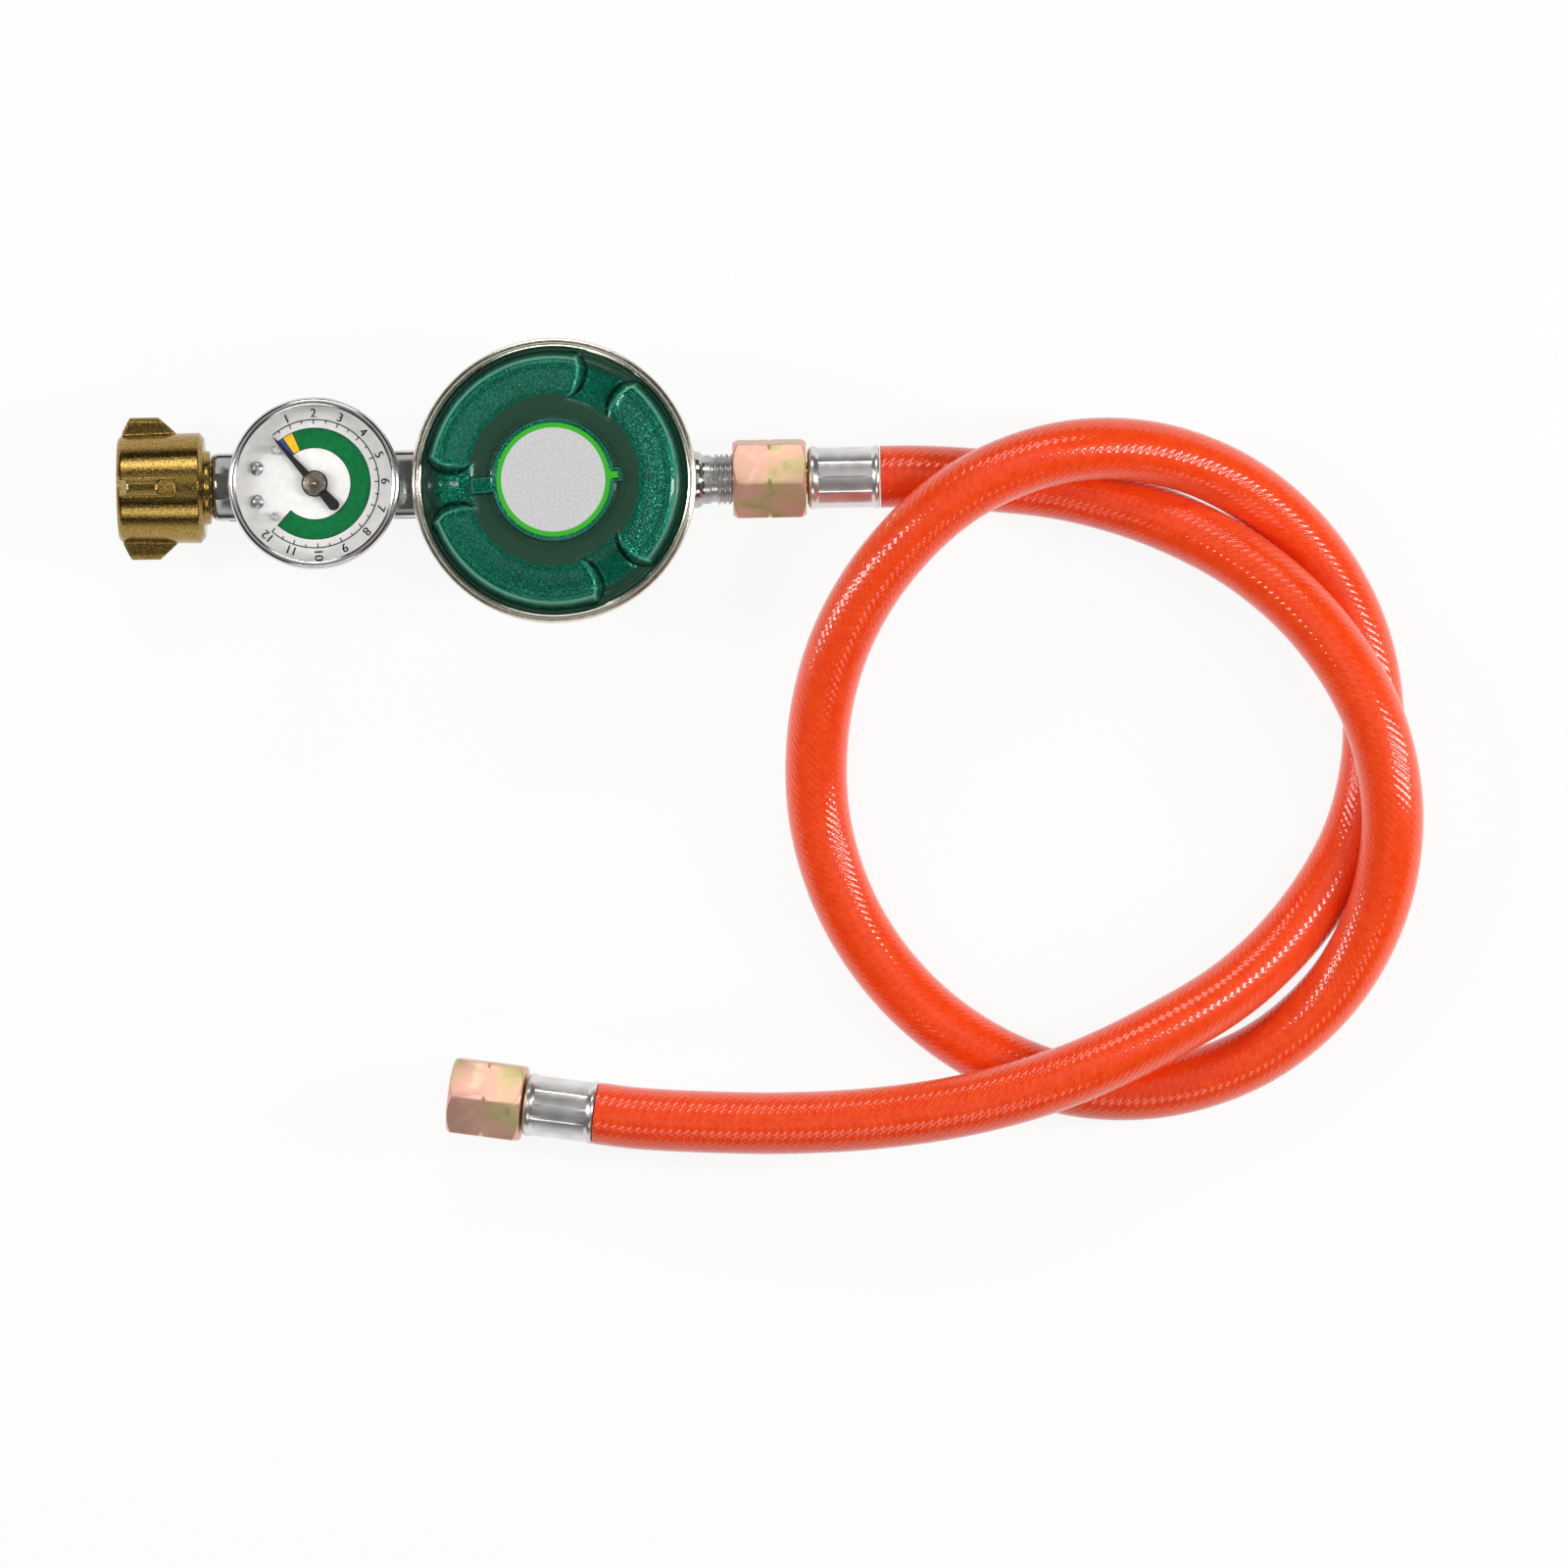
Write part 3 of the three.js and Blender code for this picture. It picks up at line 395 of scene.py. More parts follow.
# Extruded rubber hose, DIN orange: glossy skin that has sunk a little between the yarns of its braid,
# so a highlight breaks into dashes. The UV map is metres along the hose and turns round it.
def hoseRubber():
    material, tree, shader = newMaterial("hoseRubber", {
        "Roughness": 0.4, "IOR": 1.5, "Specular IOR Level": 0.15, "Coat Weight": 0.85, "Coat Roughness": 0.1,
    })
    run = splitPlace(tree, addNode(tree, "ShaderNodeUVMap", {"uv_map": "hoseRun"}).outputs["UV"])
    along = addMath(tree, "MULTIPLY", run["X"], 2 * math.pi / hoseSettings["yarnStep"])
    around = addMath(tree, "MULTIPLY", run["Y"], 2 * math.pi * hoseSettings["yarnsRound"])
    rightHand, leftHand = [
        addMath(tree, "SINE", addMath(tree, way, along, around)) for way in ("ADD", "SUBTRACT")
    ]
    braid = addMath(tree, "MULTIPLY_ADD", leftHand, hoseSettings["otherHand"], rightHand)
    clouds = addNoise(tree, objectPlace(tree), 420.0, 3.0)
    height = addMath(tree, "MULTIPLY_ADD", clouds, 0.3, braid)
    tone = addRamp(tree, clouds, [(0.3, "f23f0c"), (0.75, "fb5018")])
    # painted sheen: the base colour turns a lighter salmon towards the grazing edges of the hose
    grazing = addNode(tree, "ShaderNodeLayerWeight", {"Blend": 0.35}).outputs["Facing"]
    paintedSheen = addRange(tree, grazing, 0.0, 0.5, start=0.12, end=0.85)
    plugIn(tree, shader, {
        "Base Color": tint(tree, paintedSheen, tone, "ff8a68"), "Coat Normal": addBump(tree, height, 0.35),
    })
    return material


line = hoseLine()
hose = makeHose(line)
finishPiece(hose, hoseRubber(), ["gas_hose"])
print("hose laid,", round(sum((b - a).length for a, b in zip(line, line[1:])), 4), "m")


# Metals, paints and plastics: noise scales are per metre, bumps in mm

# Die-cast zinc, tumbled bright, in faint clouds. The outlet's thread is machined and looks greyer.
def castZinc():
    material, tree, shader = newMaterial("castZinc", {})
    place = objectPlace(tree)
    grain, clouds = addNoise(tree, place, 900.0, 6.0), addNoise(tree, place, 130.0, 3.0)
    x = splitPlace(tree, place)["X"]
    threadFrom, threadBy = 0.0384, 0.0386  # metres along the gas way
    cast = addRange(tree, grain, 0.06, 0.18)
    machined = addRange(tree, x, 0.0, 0.12, start=threadFrom, end=threadBy)
    plugIn(tree, shader, {
        "Metallic": addRange(tree, x, 0.92, 0.6, start=threadFrom, end=threadBy),
        "Base Color": addRamp(tree, clouds, [(0.32, "b2b4b3"), (0.7, "d6d6d2")]),
        "Roughness": addMath(tree, "ADD", cast, machined),
        "Normal": addBump(tree, grain, 0.14),
    })
    return material


# Two-coat metallic paint: aluminium flakes of about 0.2 mm in emerald lacquer, each lying at its own
# slight tilt, so the slopes glitter teal. The flats round the label and the skirt get painted shade, a
# dull grey-green, and less metal. Proud edges get a painted highlight and grooves painted shade.
def flakePaint():
    material, tree, shader = newMaterial("emeraldFlakePaint", {
        "Roughness": 0.34, "Specular IOR Level": 0.1, "Coat Weight": 0.5, "Coat Roughness": 0.07,
    })
    place = objectPlace(tree)
    flakes = addNode(tree, "ShaderNodeTexVoronoi", {"Scale": 4200.0}, {"Vector": place}).outputs["Color"]
    oneFlake = addNode(tree, "ShaderNodeSeparateColor", links={0: flakes}).outputs[0]
    glitter = addMath(tree, "MULTIPLY", oneFlake, addNoise(tree, place, 2200.0, 2.0))
    tone = addRamp(tree, glitter, [(0.05, "014a3a"), (0.32, "036a52"), (0.62, "28a486")])
    z = splitPlace(tree, place)["Z"]
    nearLabel = addRange(tree, fromAxis(tree, place), 0.0, 1.0, start=0.0226, end=0.0216)
    onPlateau = addMath(tree, "MULTIPLY", nearLabel, addRange(tree, z, 0.0, 1.0, start=0.0426, end=0.0429))
    underBoss = addRange(tree, z, 0.0, 1.0, start=0.0434, end=0.0432)
    plateau = addMath(tree, "MULTIPLY", onPlateau, underBoss)
    skirt = addRange(tree, z, 0.0, 1.0, start=0.0362, end=0.0345)
    paintedShadeFlats = addMath(tree, "MAXIMUM", plateau, skirt)
    bend = addNode(tree, "ShaderNodeAttribute", {"attribute_name": "edgeBend"}).outputs["Fac"]
    # painted shade: the flats round the label and the skirt are tinted a dull grey-green
    shadedFlatsTone = tint(tree, paintedShadeFlats, tone, "2b4c3b")
    # painted highlight on proud edges and painted shade in the grooves, set by the edgeBend curvature
    lit = tint(tree, addRange(tree, bend, 0.0, 0.8, start=0.1, end=1.0), shadedFlatsTone, "55c4a2")
    shaded = tint(tree, addRange(tree, bend, 0.0, 0.85, start=-0.15, end=-1.0), lit, "03241b")
    vector = "ShaderNodeVectorMath"
    tilt = addNode(tree, vector, {"operation": "SUBTRACT", 1: (0.5, 0.5, 0.5)}, {0: flakes}).outputs[0]
    lessTilt = addNode(tree, vector, {"operation": "SCALE", "Scale": 0.42}, {0: tilt}).outputs[0]
    normal = addNode(tree, "ShaderNodeNewGeometry").outputs["Normal"]
    tilted = addNode(tree, vector, {"operation": "ADD"}, {0: normal, 1: lessTilt}).outputs[0]
    plugIn(tree, shader, {
        "Base Color": shaded, "Metallic": addRange(tree, paintedShadeFlats, 0.62, 0.25),
        "Normal": addNode(tree, vector, {"operation": "NORMALIZE"}, {0: tilted}).outputs[0],
    })
    return material


# Hot-forged brass, tumbled: golden, gritty with scale, with small bright facets.
def forgedBrass():
    material, tree, shader = newMaterial("forgedBrass", {"Metallic": 1.0})
    place = objectPlace(tree)
    grit, scale = addNoise(tree, place, 2300.0, 4.0, Roughness=0.6), addNoise(tree, place, 420.0, 3.0)
    plugIn(tree, shader, {
        "Base Color": addRamp(tree, grit, [(0.3, "6a532a"), (0.7, "c0a056")]),
        "Roughness": addRange(tree, grit, 0.08, 0.26),
        "Normal": addBump(tree, addMath(tree, "MULTIPLY_ADD", scale, 0.3, grit), 0.4, depth=0.12),
    })
    return material


# Turned, drawn or plated metal: even colour with faint clouds and very fine marks of the tool.
# Dark and pale colour, lowest and highest roughness, strength of the marks, grain and metal share.
plainMetals = {
    "turnedBrass": ("b48c40", "dcb766", 0.18, 0.34, 0.12, 700.0, 1.0),
    "gaugeChrome": ("cfcccc", "e6e4e4", 0.12, 0.2, 0.02, 160.0, 1.0),
    "crimpedNickel": ("dad3c3", "ece5d7", 0.2, 0.26, 0.03, 700.0, 1.0),
    "ferruleSteel": ("d2d0cf", "e8e5e3", 0.22, 0.3, 0.01, 200.0, 0.88),
    "capNickel": ("7d7368", "988d80", 0.2, 0.34, 0.06, 600.0, 1.0),
    "springWire": ("7c7f82", "a4a7aa", 0.25, 0.4, 0.08, 800.0, 1.0),
    "zincPlate": ("a9adb1", "cdd0d3", 0.2, 0.36, 0.08, 500.0, 1.0),
}


def plainMetal(name):
    dark, pale, smoothest, roughest, marks, grain, metal = plainMetals[name]
    material, tree, shader = newMaterial(name, {"Metallic": metal})
    noise = addNoise(tree, objectPlace(tree), grain, 4.0)
    plugIn(tree, shader, {
        "Base Color": addRamp(tree, noise, [(0.3, dark), (0.62, pale)]),
        "Roughness": addRange(tree, noise, smoothest, roughest),
        "Normal": addBump(tree, noise, marks),
    })
    return material


# Yellow-passivated zinc plating: a thin film that shifts from straw to rose and olive in soft clouds.
def yellowZinc():
    material, tree, shader = newMaterial("yellowZincPlate", {"Metallic": 0.68})
    place = objectPlace(tree)
    film = [(0.28, "a39a6c"), (0.4, "c8b684"), (0.5, "ddb294"), (0.6, "e2ab9c"), (0.74, "e6cfa6")]
    grain = addNoise(tree, place, 1100.0, 4.0)
    plugIn(tree, shader, {
        "Base Color": addRamp(tree, addNoise(tree, place, 95.0, 3.0, Distortion=0.6), film),
        "Roughness": addRange(tree, grain, 0.3, 0.42),
        "Normal": addBump(tree, grain, 0.16),
    })
    return material


# Plastics, inks and rubber: one colour with a little unevenness in tone.
# Dark and pale colour, roughness, grain, strength of the bump and specular level.
plainCoats = {
    "dialEnamel": ("d3d2cf", "dcdbd9", 0.42, 500.0, 0.03, 0.12),
    "dialBlack": ("070708", "111112", 0.45, 700.0, 0.03, 0.12),
    "dialGreen": ("005c2e", "016a36", 0.4, 600.0, 0.03, 0.12),
    "dialYellow": ("f2a916", "fbb92a", 0.4, 600.0, 0.03, 0.12),
    "dialBlue": ("2f449a", "3d55b0", 0.4, 600.0, 0.03, 0.12),
    "pointerPaint": ("050506", "0e0e10", 0.36, 900.0, 0.05, 0.5),
    "pinNylon": ("94948f", "aeaea9", 0.15, 600.0, 0.04, 0.5),
    "gasketRubber": ("4a4038", "5c5148", 0.6, 700.0, 0.1, 0.5),
    "sealRubber": ("161618", "26262a", 0.75, 900.0, 0.2, 0.5),
}


def plainCoat(name):
    dark, pale, rough, grain, strength, gloss = plainCoats[name]
    material, tree, shader = newMaterial(name, {"Roughness": rough, "IOR": 1.5, "Specular IOR Level": gloss})
    noise = addNoise(tree, objectPlace(tree), grain, 3.0)
    plugIn(tree, shader, {
        "Base Color": addRamp(tree, noise, [(0.35, dark), (0.65, pale)]),
        "Normal": addBump(tree, noise, strength),
    })
    return material


# Printed foil: bright green lacquer at its edge, bare aluminium inside, mottled by its rough backing.
def labelFoil():
    material, tree, shader = newMaterial("labelFoil", {"Roughness": 0.42})
    place = objectPlace(tree)
    border = addMath(tree, "GREATER_THAN", fromAxis(tree, place), 0.0133)  # metres, where the green begins
    mottle = addNoise(tree, place, 1500.0, 5.0, Roughness=0.6)
    bare = addRamp(tree, mottle, [(0.3, "d2d2d4"), (0.65, "ebebeb")])
    plugIn(tree, shader, {
        "Base Color": tint(tree, border, bare, "35b51c"), "Metallic": addRange(tree, border, 0.35, 0.0),
        "Normal": addBump(tree, mottle, 0.12),
    })
    return material


# Moulded clear acrylic pane: gloss by its Fresnel share, and lamps shine through it on the dial.
def clearPane(name):
    material, tree, shader = newMaterial(name, {
        "Base Color": linearColour("ffffff"), "Roughness": 0.0, "IOR": 1.49, "Transmission Weight": 1.0,
    })
    shadowRay = addNode(tree, "ShaderNodeLightPath").outputs["Is Shadow Ray"]
    through = addNode(tree, "ShaderNodeBsdfTransparent", {"Color": (0.97, 0.97, 0.97, 1)})
    mixed = addNode(tree, "ShaderNodeMixShader", links={
        0: shadowRay, 1: shader.outputs["BSDF"], 2: through.outputs["BSDF"],
    })
    plugIn(tree, tree.nodes["Material Output"], {"Surface": mixed.outputs["Shader"]})
    return material


zincCasting, emeraldPaint, brassForging = castZinc(), flakePaint(), forgedBrass()
turnedBrass, gaugeChrome, crimpedNickel, ferruleSteel, capNickel, springWire, zincPlate = [
    plainMetal(name) for name in plainMetals
]
nutZinc = yellowZinc()
dialEnamel, dialBlack, dialGreen, dialYellow, dialBlue, pointerPaint, pinNylon, gasketRubber, sealRubber = [
    plainCoat(name) for name in plainCoats
]
foil, windowAcrylic = labelFoil(), clearPane("windowAcrylic")
print("materials mixed")


# Cover: die-cast dome with three raised shoulders, valleys between them, a rib and the label's boss

coverSettings = {
    "turn": 3.7,  # degrees that the whole cover sits round from the flow line
    # half of the angle that a valley takes, in degrees, at radii in mm: narrowest halfway up
    "valleySpread": [(20.0, 20.0), (20.8, 17.6), (21.6, 14.6), (22.8, 11.6), (24.5, 9.8), (27.0, 9.0),
                     (30.0, 9.6), (31.5, 11.2), (33.4, 14.5)],
    "valley": [(15.25, 43.0), (20.3, 43.0), (21.0, 42.8), (21.8, 42.1), (24.2, 39.9), (29.4, 36.6),
               (31.6, 34.6), (32.4, 34.3), (33.0, 34.3), (33.2, 34.55), (35.9, 34.55)],
    "plateau": 43.0,
    "boss": (15.95, 45.0),  # radius and height
    "seat": (15.25, 43.8),  # floor under the label
    "key": (17.7, 2.0, 16.9, 1.15),  # end and half width of the raised part, then of its slot
    "rib": (21.4, 2.3, 44.7),  # outer end, half width, height
    "crest": (30.1, 0.5),  # the soft ridge along a shoulder's edge: radius, and height above the cone
    "outerWall": (31.3, 41.6, 3.6),  # top radius, top height, slope
    "endSlope": 3.2,
    "blend": 1.3,
    "grooveDepth": 0.55,  # at the foot of each shoulder's end
    "grooveWidth": 0.42,
    "wall": 1.7,
    "bendReach": 0.5,
    "fullBend": 1.3,
    "plateauBend": 0.45,  # share of the bend that shows on the flats round the label
    "vent": (1.0, 37.4),  # radius and height of the breather hole
    "rings": (56, 0.34),  # how many, and how far apart
    "steps": 540,
}


def between(table, at):
    for (r0, z0), (r1, z1) in zip(table, table[1:]):
        if at <= r1:
            return z0 + (z1 - z0) * max(0.0, at - r0) / (r1 - r0)
    return table[-1][1]


def clamped(value):
    return min(1.0, max(0.0, value))


def softLower(a, b, blend):
    h = max(blend - abs(a - b), 0.0) / blend
    return min(a, b) - h * h * blend / 4


def softHigher(a, b, blend):
    return -softLower(-a, -b, blend)


# How far a point lies inside its shoulder's end, in mm along the arc
def shoulderInside(r, angle):
    third = 2 * math.pi / 3
    off = abs((angle + third / 2) % third - third / 2)
    return (math.pi / 3 - math.radians(between(coverSettings["valleySpread"], r)) - off) * r


# Height of a shoulder: a crowned cone out to a rounded ridge, a steep outer wall, and ends that drop
# into the valleys. The ridge is soft along its crest and stands a little proud of the cone.
def shoulderHeight(r, angle):
    inside = shoulderInside(r, angle)
    if inside < 0:
        return 0.0
    crestRadius, crestRise = coverSettings["crest"]
    wallRadius, wallTop, wallSlope = coverSettings["outerWall"]
    cone = coverSettings["plateau"] - 1.5 * (max(0.0, r - 22.6) / 8) ** 1.4
    crest = crestRise * math.exp(-(r - crestRadius) ** 2)
    top = softLower(cone + crest, wallTop - (r - wallRadius) * wallSlope, coverSettings["blend"])
    rounding = 0.4 * math.exp(-((inside - 1.7) / 0.8) ** 2) * clamped((r - 22.5) / 3)
    end = between(coverSettings["valley"], r) + inside * coverSettings["endSlope"]
    return softLower(top + rounding, end, coverSettings["blend"])


def coverHeight(x, y):
    r, angle = math.hypot(x, y), math.atan2(y, x)
    height = between(coverSettings["valley"], r)
    if r > 20.6:
        height = softHigher(height, shoulderHeight(r, angle), 0.35)
        beside = (shoulderInside(r, angle) + 0.3) / coverSettings["grooveWidth"]
        reach = clamped((r - 21.8) / 1.5) * clamped((31.6 - r) / 1.5)
        height -= coverSettings["grooveDepth"] * math.exp(-beside ** 2) * reach
    bossRadius, boss = coverSettings["boss"]
    height += (boss - height) * clamped((bossRadius - r) / 0.3)
    keyEnd, keyHalf, slotEnd, slotHalf = coverSettings["key"]
    ribEnd, ribHalf, ribTop = coverSettings["rib"]
    if x > 0:
        height += (boss - height) * (clamped((keyEnd - r) / 0.35) * clamped((keyHalf - abs(y)) / 0.3))
        if abs(y) < slotHalf and r < slotEnd:
            height = coverSettings["seat"][1]
    elif x < 0 and r < 21.5:
        rib = clamped((ribEnd - r) / 0.5) * clamped((ribHalf - abs(y)) / 0.45)
        height = max(height, height + (ribTop - height) * rib)
    return height


# How sharply the skin bends: 1 along a proud edge, -1 in the bottom of a groove
def edgeBend(x, y):
    reach = coverSettings["bendReach"]
    around = sum(coverHeight(x + dx * reach, y + dy * reach) for dx, dy in ((1, 0), (-1, 0), (0, 1), (0, -1)))
    return max(-1.0, min(1.0, (4 * coverHeight(x, y) - around) / coverSettings["fullBend"]))


def makeCover():
    valley, wall, (seatRadius, seat) = (coverSettings[k] for k in ("valley", "wall", "seat"))
    count, apart = coverSettings["rings"]
    rings = [seatRadius + i * apart for i in range(count)]
    outline = [(seat, 12.4), (seat, seatRadius)]
    outline += [(between(valley, r) + (0.001 if i else 0.0), r) for i, r in enumerate(rings)]
    outline += [(34.55, 35.9), (33.2, 35.9), (33.2, 33.0)]
    outline += [(between(valley, r) - wall, r) for r in (32.0, 30.0, 28.0, 26.0, 24.0, 22.0, 20.0, 14.0)]
    outline += [(37.0, 14.0), (37.0, 12.4)]
    cover = spinOutline("cover_casting", outline, steps=coverSettings["steps"], ring=True)
    # edgeBend, kept per point, places the paint's painted highlight on proud edges and painted shade in
    # grooves
    bend = cover.data.attributes.new("edgeBend", "FLOAT", "POINT")
    for vertex in cover.data.vertices:
        x, y, z = vertex.co / mm
        r = math.hypot(x, y)
        if r < 15.2 or z < 33.3 or r > 35:  # the label's hole and the rim stay plain
            continue
        plain = between(valley, r)
        lift = coverHeight(x, y) - plain
        if z > plain - 0.5:  # outer skin
            bend.data[vertex.index].value = edgeBend(x, y) * (1.0 if r > 22 else coverSettings["plateauBend"])
            vertex.co.z = (plain + lift) * mm
        elif r > 20.5:  # hollow under a shoulder
            vertex.co.z += max(0.0, lift) * mm
    radius, height = coverSettings["vent"]
    vent = spinOutline("vent", [(26, 0), (26, radius), (36, radius), (36, 0)], axis="X", steps=24)
    toWall = Matrix.Rotation(2 * math.pi / 3, 4, "Z")
    combine(cover, "DIFFERENCE", movePiece(vent, toWall @ Matrix.Translation((0, 0, height * mm))))
    return movePiece(cover, Matrix.Rotation(math.radians(coverSettings["turn"]), 4, "Z"))


cover = makeCover()
finishPiece(cover, emeraldPaint, ["cover"], smooth=42)
print("cover cast,", len(cover.data.polygons), "faces")


# Crimp ring and label

crimpSettings = {
    "outline": [(27.6, 34.0), (27.6, 36.0), (28.0, 36.45), (28.5, 36.6), (34.3, 36.6), (34.8, 36.5),
                (35.15, 36.25), (35.25, 36.0), (35.15, 35.85), (35.3, 35.6), (35.55, 35.35), (35.6, 35.1),
                (35.5, 34.95), (35.38, 34.9), (35.5, 34.75), (35.58, 34.5), (35.45, 34.25), (35.15, 34.1),
                (34.85, 34.15), (34.65, 34.3), (34.6, 34.6), (34.6, 36.2), (28.4, 36.2), (28.4, 34.0)],
}
crimpRing = spinOutline("crimp_ring_rolled", crimpSettings["outline"], steps=180, ring=True)
finishPiece(crimpRing, crimpedNickel, ["crimp_ring"])

labelSettings = {
    "outline": [(44.1, 0), (44.1, 14.95), (44.65, 14.95), (44.7, 14.9), (44.7, 0)],
    "tab": ((14, -0.9, 44.1), (16.7, 0.9, 44.7)),  # fits the key slot
}
label = spinOutline("label_foil", labelSettings["outline"], steps=128)
combine(label, "UNION", addBlock("tab", *labelSettings["tab"]))
movePiece(label, Matrix.Rotation(math.radians(coverSettings["turn"]), 4, "Z"))
finishPiece(label, foil, ["label_plate"])
print("crimp ring and label on")


# Zinc body: dish, foot, arm with its pockets, gauge boss and the threaded outlet

bodySettings = {
    "armWidth": 17.3,
    "arm": (-88.3, -24.3),  # from, to
    "pockets": [(-84, -70), (-52, -33)],
    "pocketHeights": (14, 23.2),
    "pocketDepth": 2.6,
    "threadRoot": 5.85,
    "threadCrest": 13.157 / 2,
    "threadPitch": 25.4 / 19,  # G 1/4, 19 threads to the inch, left-hand
}


# A left-hand ridge round X, drawn out by Screw. Inward, its tip points at the axis.
def threadRidge(name, start, turns, pitch, root, crest, inward=False):
    tip, base, deeper = (root, crest, 0.5) if inward else (crest, root, -0.5)
    ridge = drawChain(name, [Vector((a, 0, r)) * mm for a, r in (
        (0.04, base + deeper), (0.04, base), (pitch * 0.44, tip), (pitch * 0.56, tip),
        (pitch * 0.96, base), (pitch * 0.96, base + deeper),
    )])
    bpy.ops.mesh.edge_face_add()
    bpy.ops.object.mode_set(mode="OBJECT")
    drawScrew(ridge, "X", -turns, pitch * turns, 36)
    editAll(ridge)
    bpy.ops.mesh.remove_doubles(threshold=tinyGap)
    bpy.ops.mesh.fill_holes(sides=0)  # close both ends of the ridge
    leaveOutward()
    return movePiece(ridge, Matrix.Translation((start * mm, 0, 0)))


def makeBody():
    half, (armFrom, armTo) = bodySettings["armWidth"] / 2, bodySettings["arm"]
    root, crest, pitch = (bodySettings[k] for k in ("threadRoot", "threadCrest", "threadPitch"))
    dish = spinOutline("regulator_casting", [
        (0, 0), (0, 15.2), (0.8, 16), (6, 16.6), (7.6, 22), (13, 25.4), (20.5, 31), (28.7, 33.4),
        (28.7, 35.9), (31.6, 35.9), (31.6, 0),
    ], steps=120)
    arm = addBlock("arm", (armFrom, -half, flowHeight - half), (armTo, half, flowHeight + half))
    breakEdges(arm, 2.0, segments=4)
    armPad = addBlock("armPad", (-87.4, -3.4, 24), (-83.4, 3.4, flowHeight + half + 0.5))
    breakEdges(armPad, 0.5)
    gaugeBoss = spinAt(gaugeMiddle, "gaugeBoss", [(18.6, 0), (18.6, 8.2), (29.1, 8.2), (29.1, 0)], steps=64)
    neck = alongFlow("neck", [
        (20, 0), (20, 8.6), (36.4, 7.35), (37.2, 7.2), (37.7, 6.9), (38.0, 6.4), (38.3, 6.3), (39.9, 6.3),
        (40.2, 6.05), (40.3, root), (40.3, 0),
    ], 64)
    stub = alongFlow("stub", [(39, 0), (39, root), (55.4, root), (56.1, 5.3), (56.1, 0)], 64)
    combine(dish, "UNION", arm, armPad, gaugeBoss, neck, stub)
    for turn in (math.pi, 0):  # two ribs under the dish
        rib = addBlock("rib", (-1.5, 0, 1.5), (1.5, 30.5, 21))
        sliceOff(rib, (0, 14, 1.5), (0, 19.5, -16.5))
        combine(dish, "UNION", movePiece(rib, Matrix.Rotation(turn, 4, "Z")))
    low, high = bodySettings["pocketHeights"]
    for start, end in bodySettings["pockets"]:
        for side in (-1, 1):
            inner = half - bodySettings["pocketDepth"]
            pocket = addBlock("pocket", (start, inner, low), (end, half + 1, high))
            breakEdges(pocket, 0.8, segments=3)
            editAll(movePiece(pocket, Matrix.Scale(side, 4, (0, 1, 0))))
            leaveOutward()
            combine(dish, "DIFFERENCE", pocket)
    chamber = spinOutline("chamber", [
        (8, 0), (8, 19.2), (9, 20.4), (15.2, 22.6), (22.8, 28.4), (28.7, 31), (32.6, 31), (32.6, 0),
    ], steps=96)
    gasWay = alongFlow("gasWay", [  # nipple's seat, bore, nozzle's seat
        (-90, 0), (-90, 5.3), (-80, 5.3), (-80, 3.2), (-30, 3.2), (-30, 4.8), (-19.9, 4.8), (-19.9, 0),
    ], 48)
    port = spinAt(gaugeMiddle, "gaugePort", [(18.3, 0), (18.3, 5.4), (30, 5.4), (30, 0)], steps=50)
    outlet = alongFlow("outletBore", [(15, 0), (15, 4), (52.2, 4), (57, 5.6), (57, 0)], 48)
    combine(dish, "DIFFERENCE", chamber, gasWay, port, outlet)
    block = addBlock("valveBlock", (-20.4, -6.8, 7.5), (-12.6, 6.8, 23.6))
    guide = alongFlow("guide", [(-22, 0), (-22, 4.3), (-11, 4.3), (-11, 0)], 48)
    slot = addBlock("slot", (-21, -2.4, 7), (-12, 2.4, flowHeight))
    crown = addBlock("crown", (-21, -2.9, flowHeight), (-12, 2.9, 24))
    pinHole = spinOutline("pinHole", [(-8, 0), (-8, 1.3), (8, 1.3), (8, 0)], steps=24)
    onItsSide = Matrix.Rotation(math.pi / 2, 4, "X")
    movePiece(pinHole, Matrix.Translation(Vector((-16.5, 0, 11.5)) * mm) @ onItsSide)
    combine(block, "DIFFERENCE", guide, slot, crown, pinHole)
    combine(dish, "UNION", block)
    editAll(dish)  # slivers left where the cuts met
    bpy.ops.mesh.remove_doubles(threshold=tinyGap)
    bpy.ops.mesh.dissolve_degenerate(threshold=tinyGap)
    leaveOutward()
    thread = threadRidge("outletThread", 40.6, 10.7, pitch, root, crest)
    return joinPieces(dish, movePiece(thread, Matrix.Translation(flowLine)))


body = makeBody()
finishPiece(body, zincCasting, ["regulator_body"], smooth=20)
print("body cast,", len(body.data.polygons), "faces")


# Cylinder nut: forged brass with four wings, left-hand thread inside

wingNutSettings = {
    "face": -112.4,
    "shoulder": -90.2,
    "radius": 14.25,
    "wing": (-111.3, -97.6),  # from, to
    "wingTip": 18.3,
    "wingWidth": 4.2,
    "wingBevel": 1.1,
    "threadPitch": 25.4 / 14,
    "grain": 0.24,  # mm, the forging's skin is remade at this fineness, which rounds every edge
}


def makeWing(turn):
    tip, half = wingNutSettings["wingTip"], wingNutSettings["wingWidth"] / 2
    start, end = wingNutSettings["wing"]
    wing = addBlock("wing", (start, -half, 11.0), (end, half, tip))
    sliceOff(wing, (start, 0, 14.4), (-3.9, 0, 2.0))
    sliceOff(wing, (end, 0, 14.4), (3.9, 0, 4.3))
    for side in (1, -1):
        sliceOff(wing, (0, side * half, tip - wingNutSettings["wingBevel"]), (0, side, 1))
    return movePiece(wing, Matrix.Rotation(turn, 4, "X"))


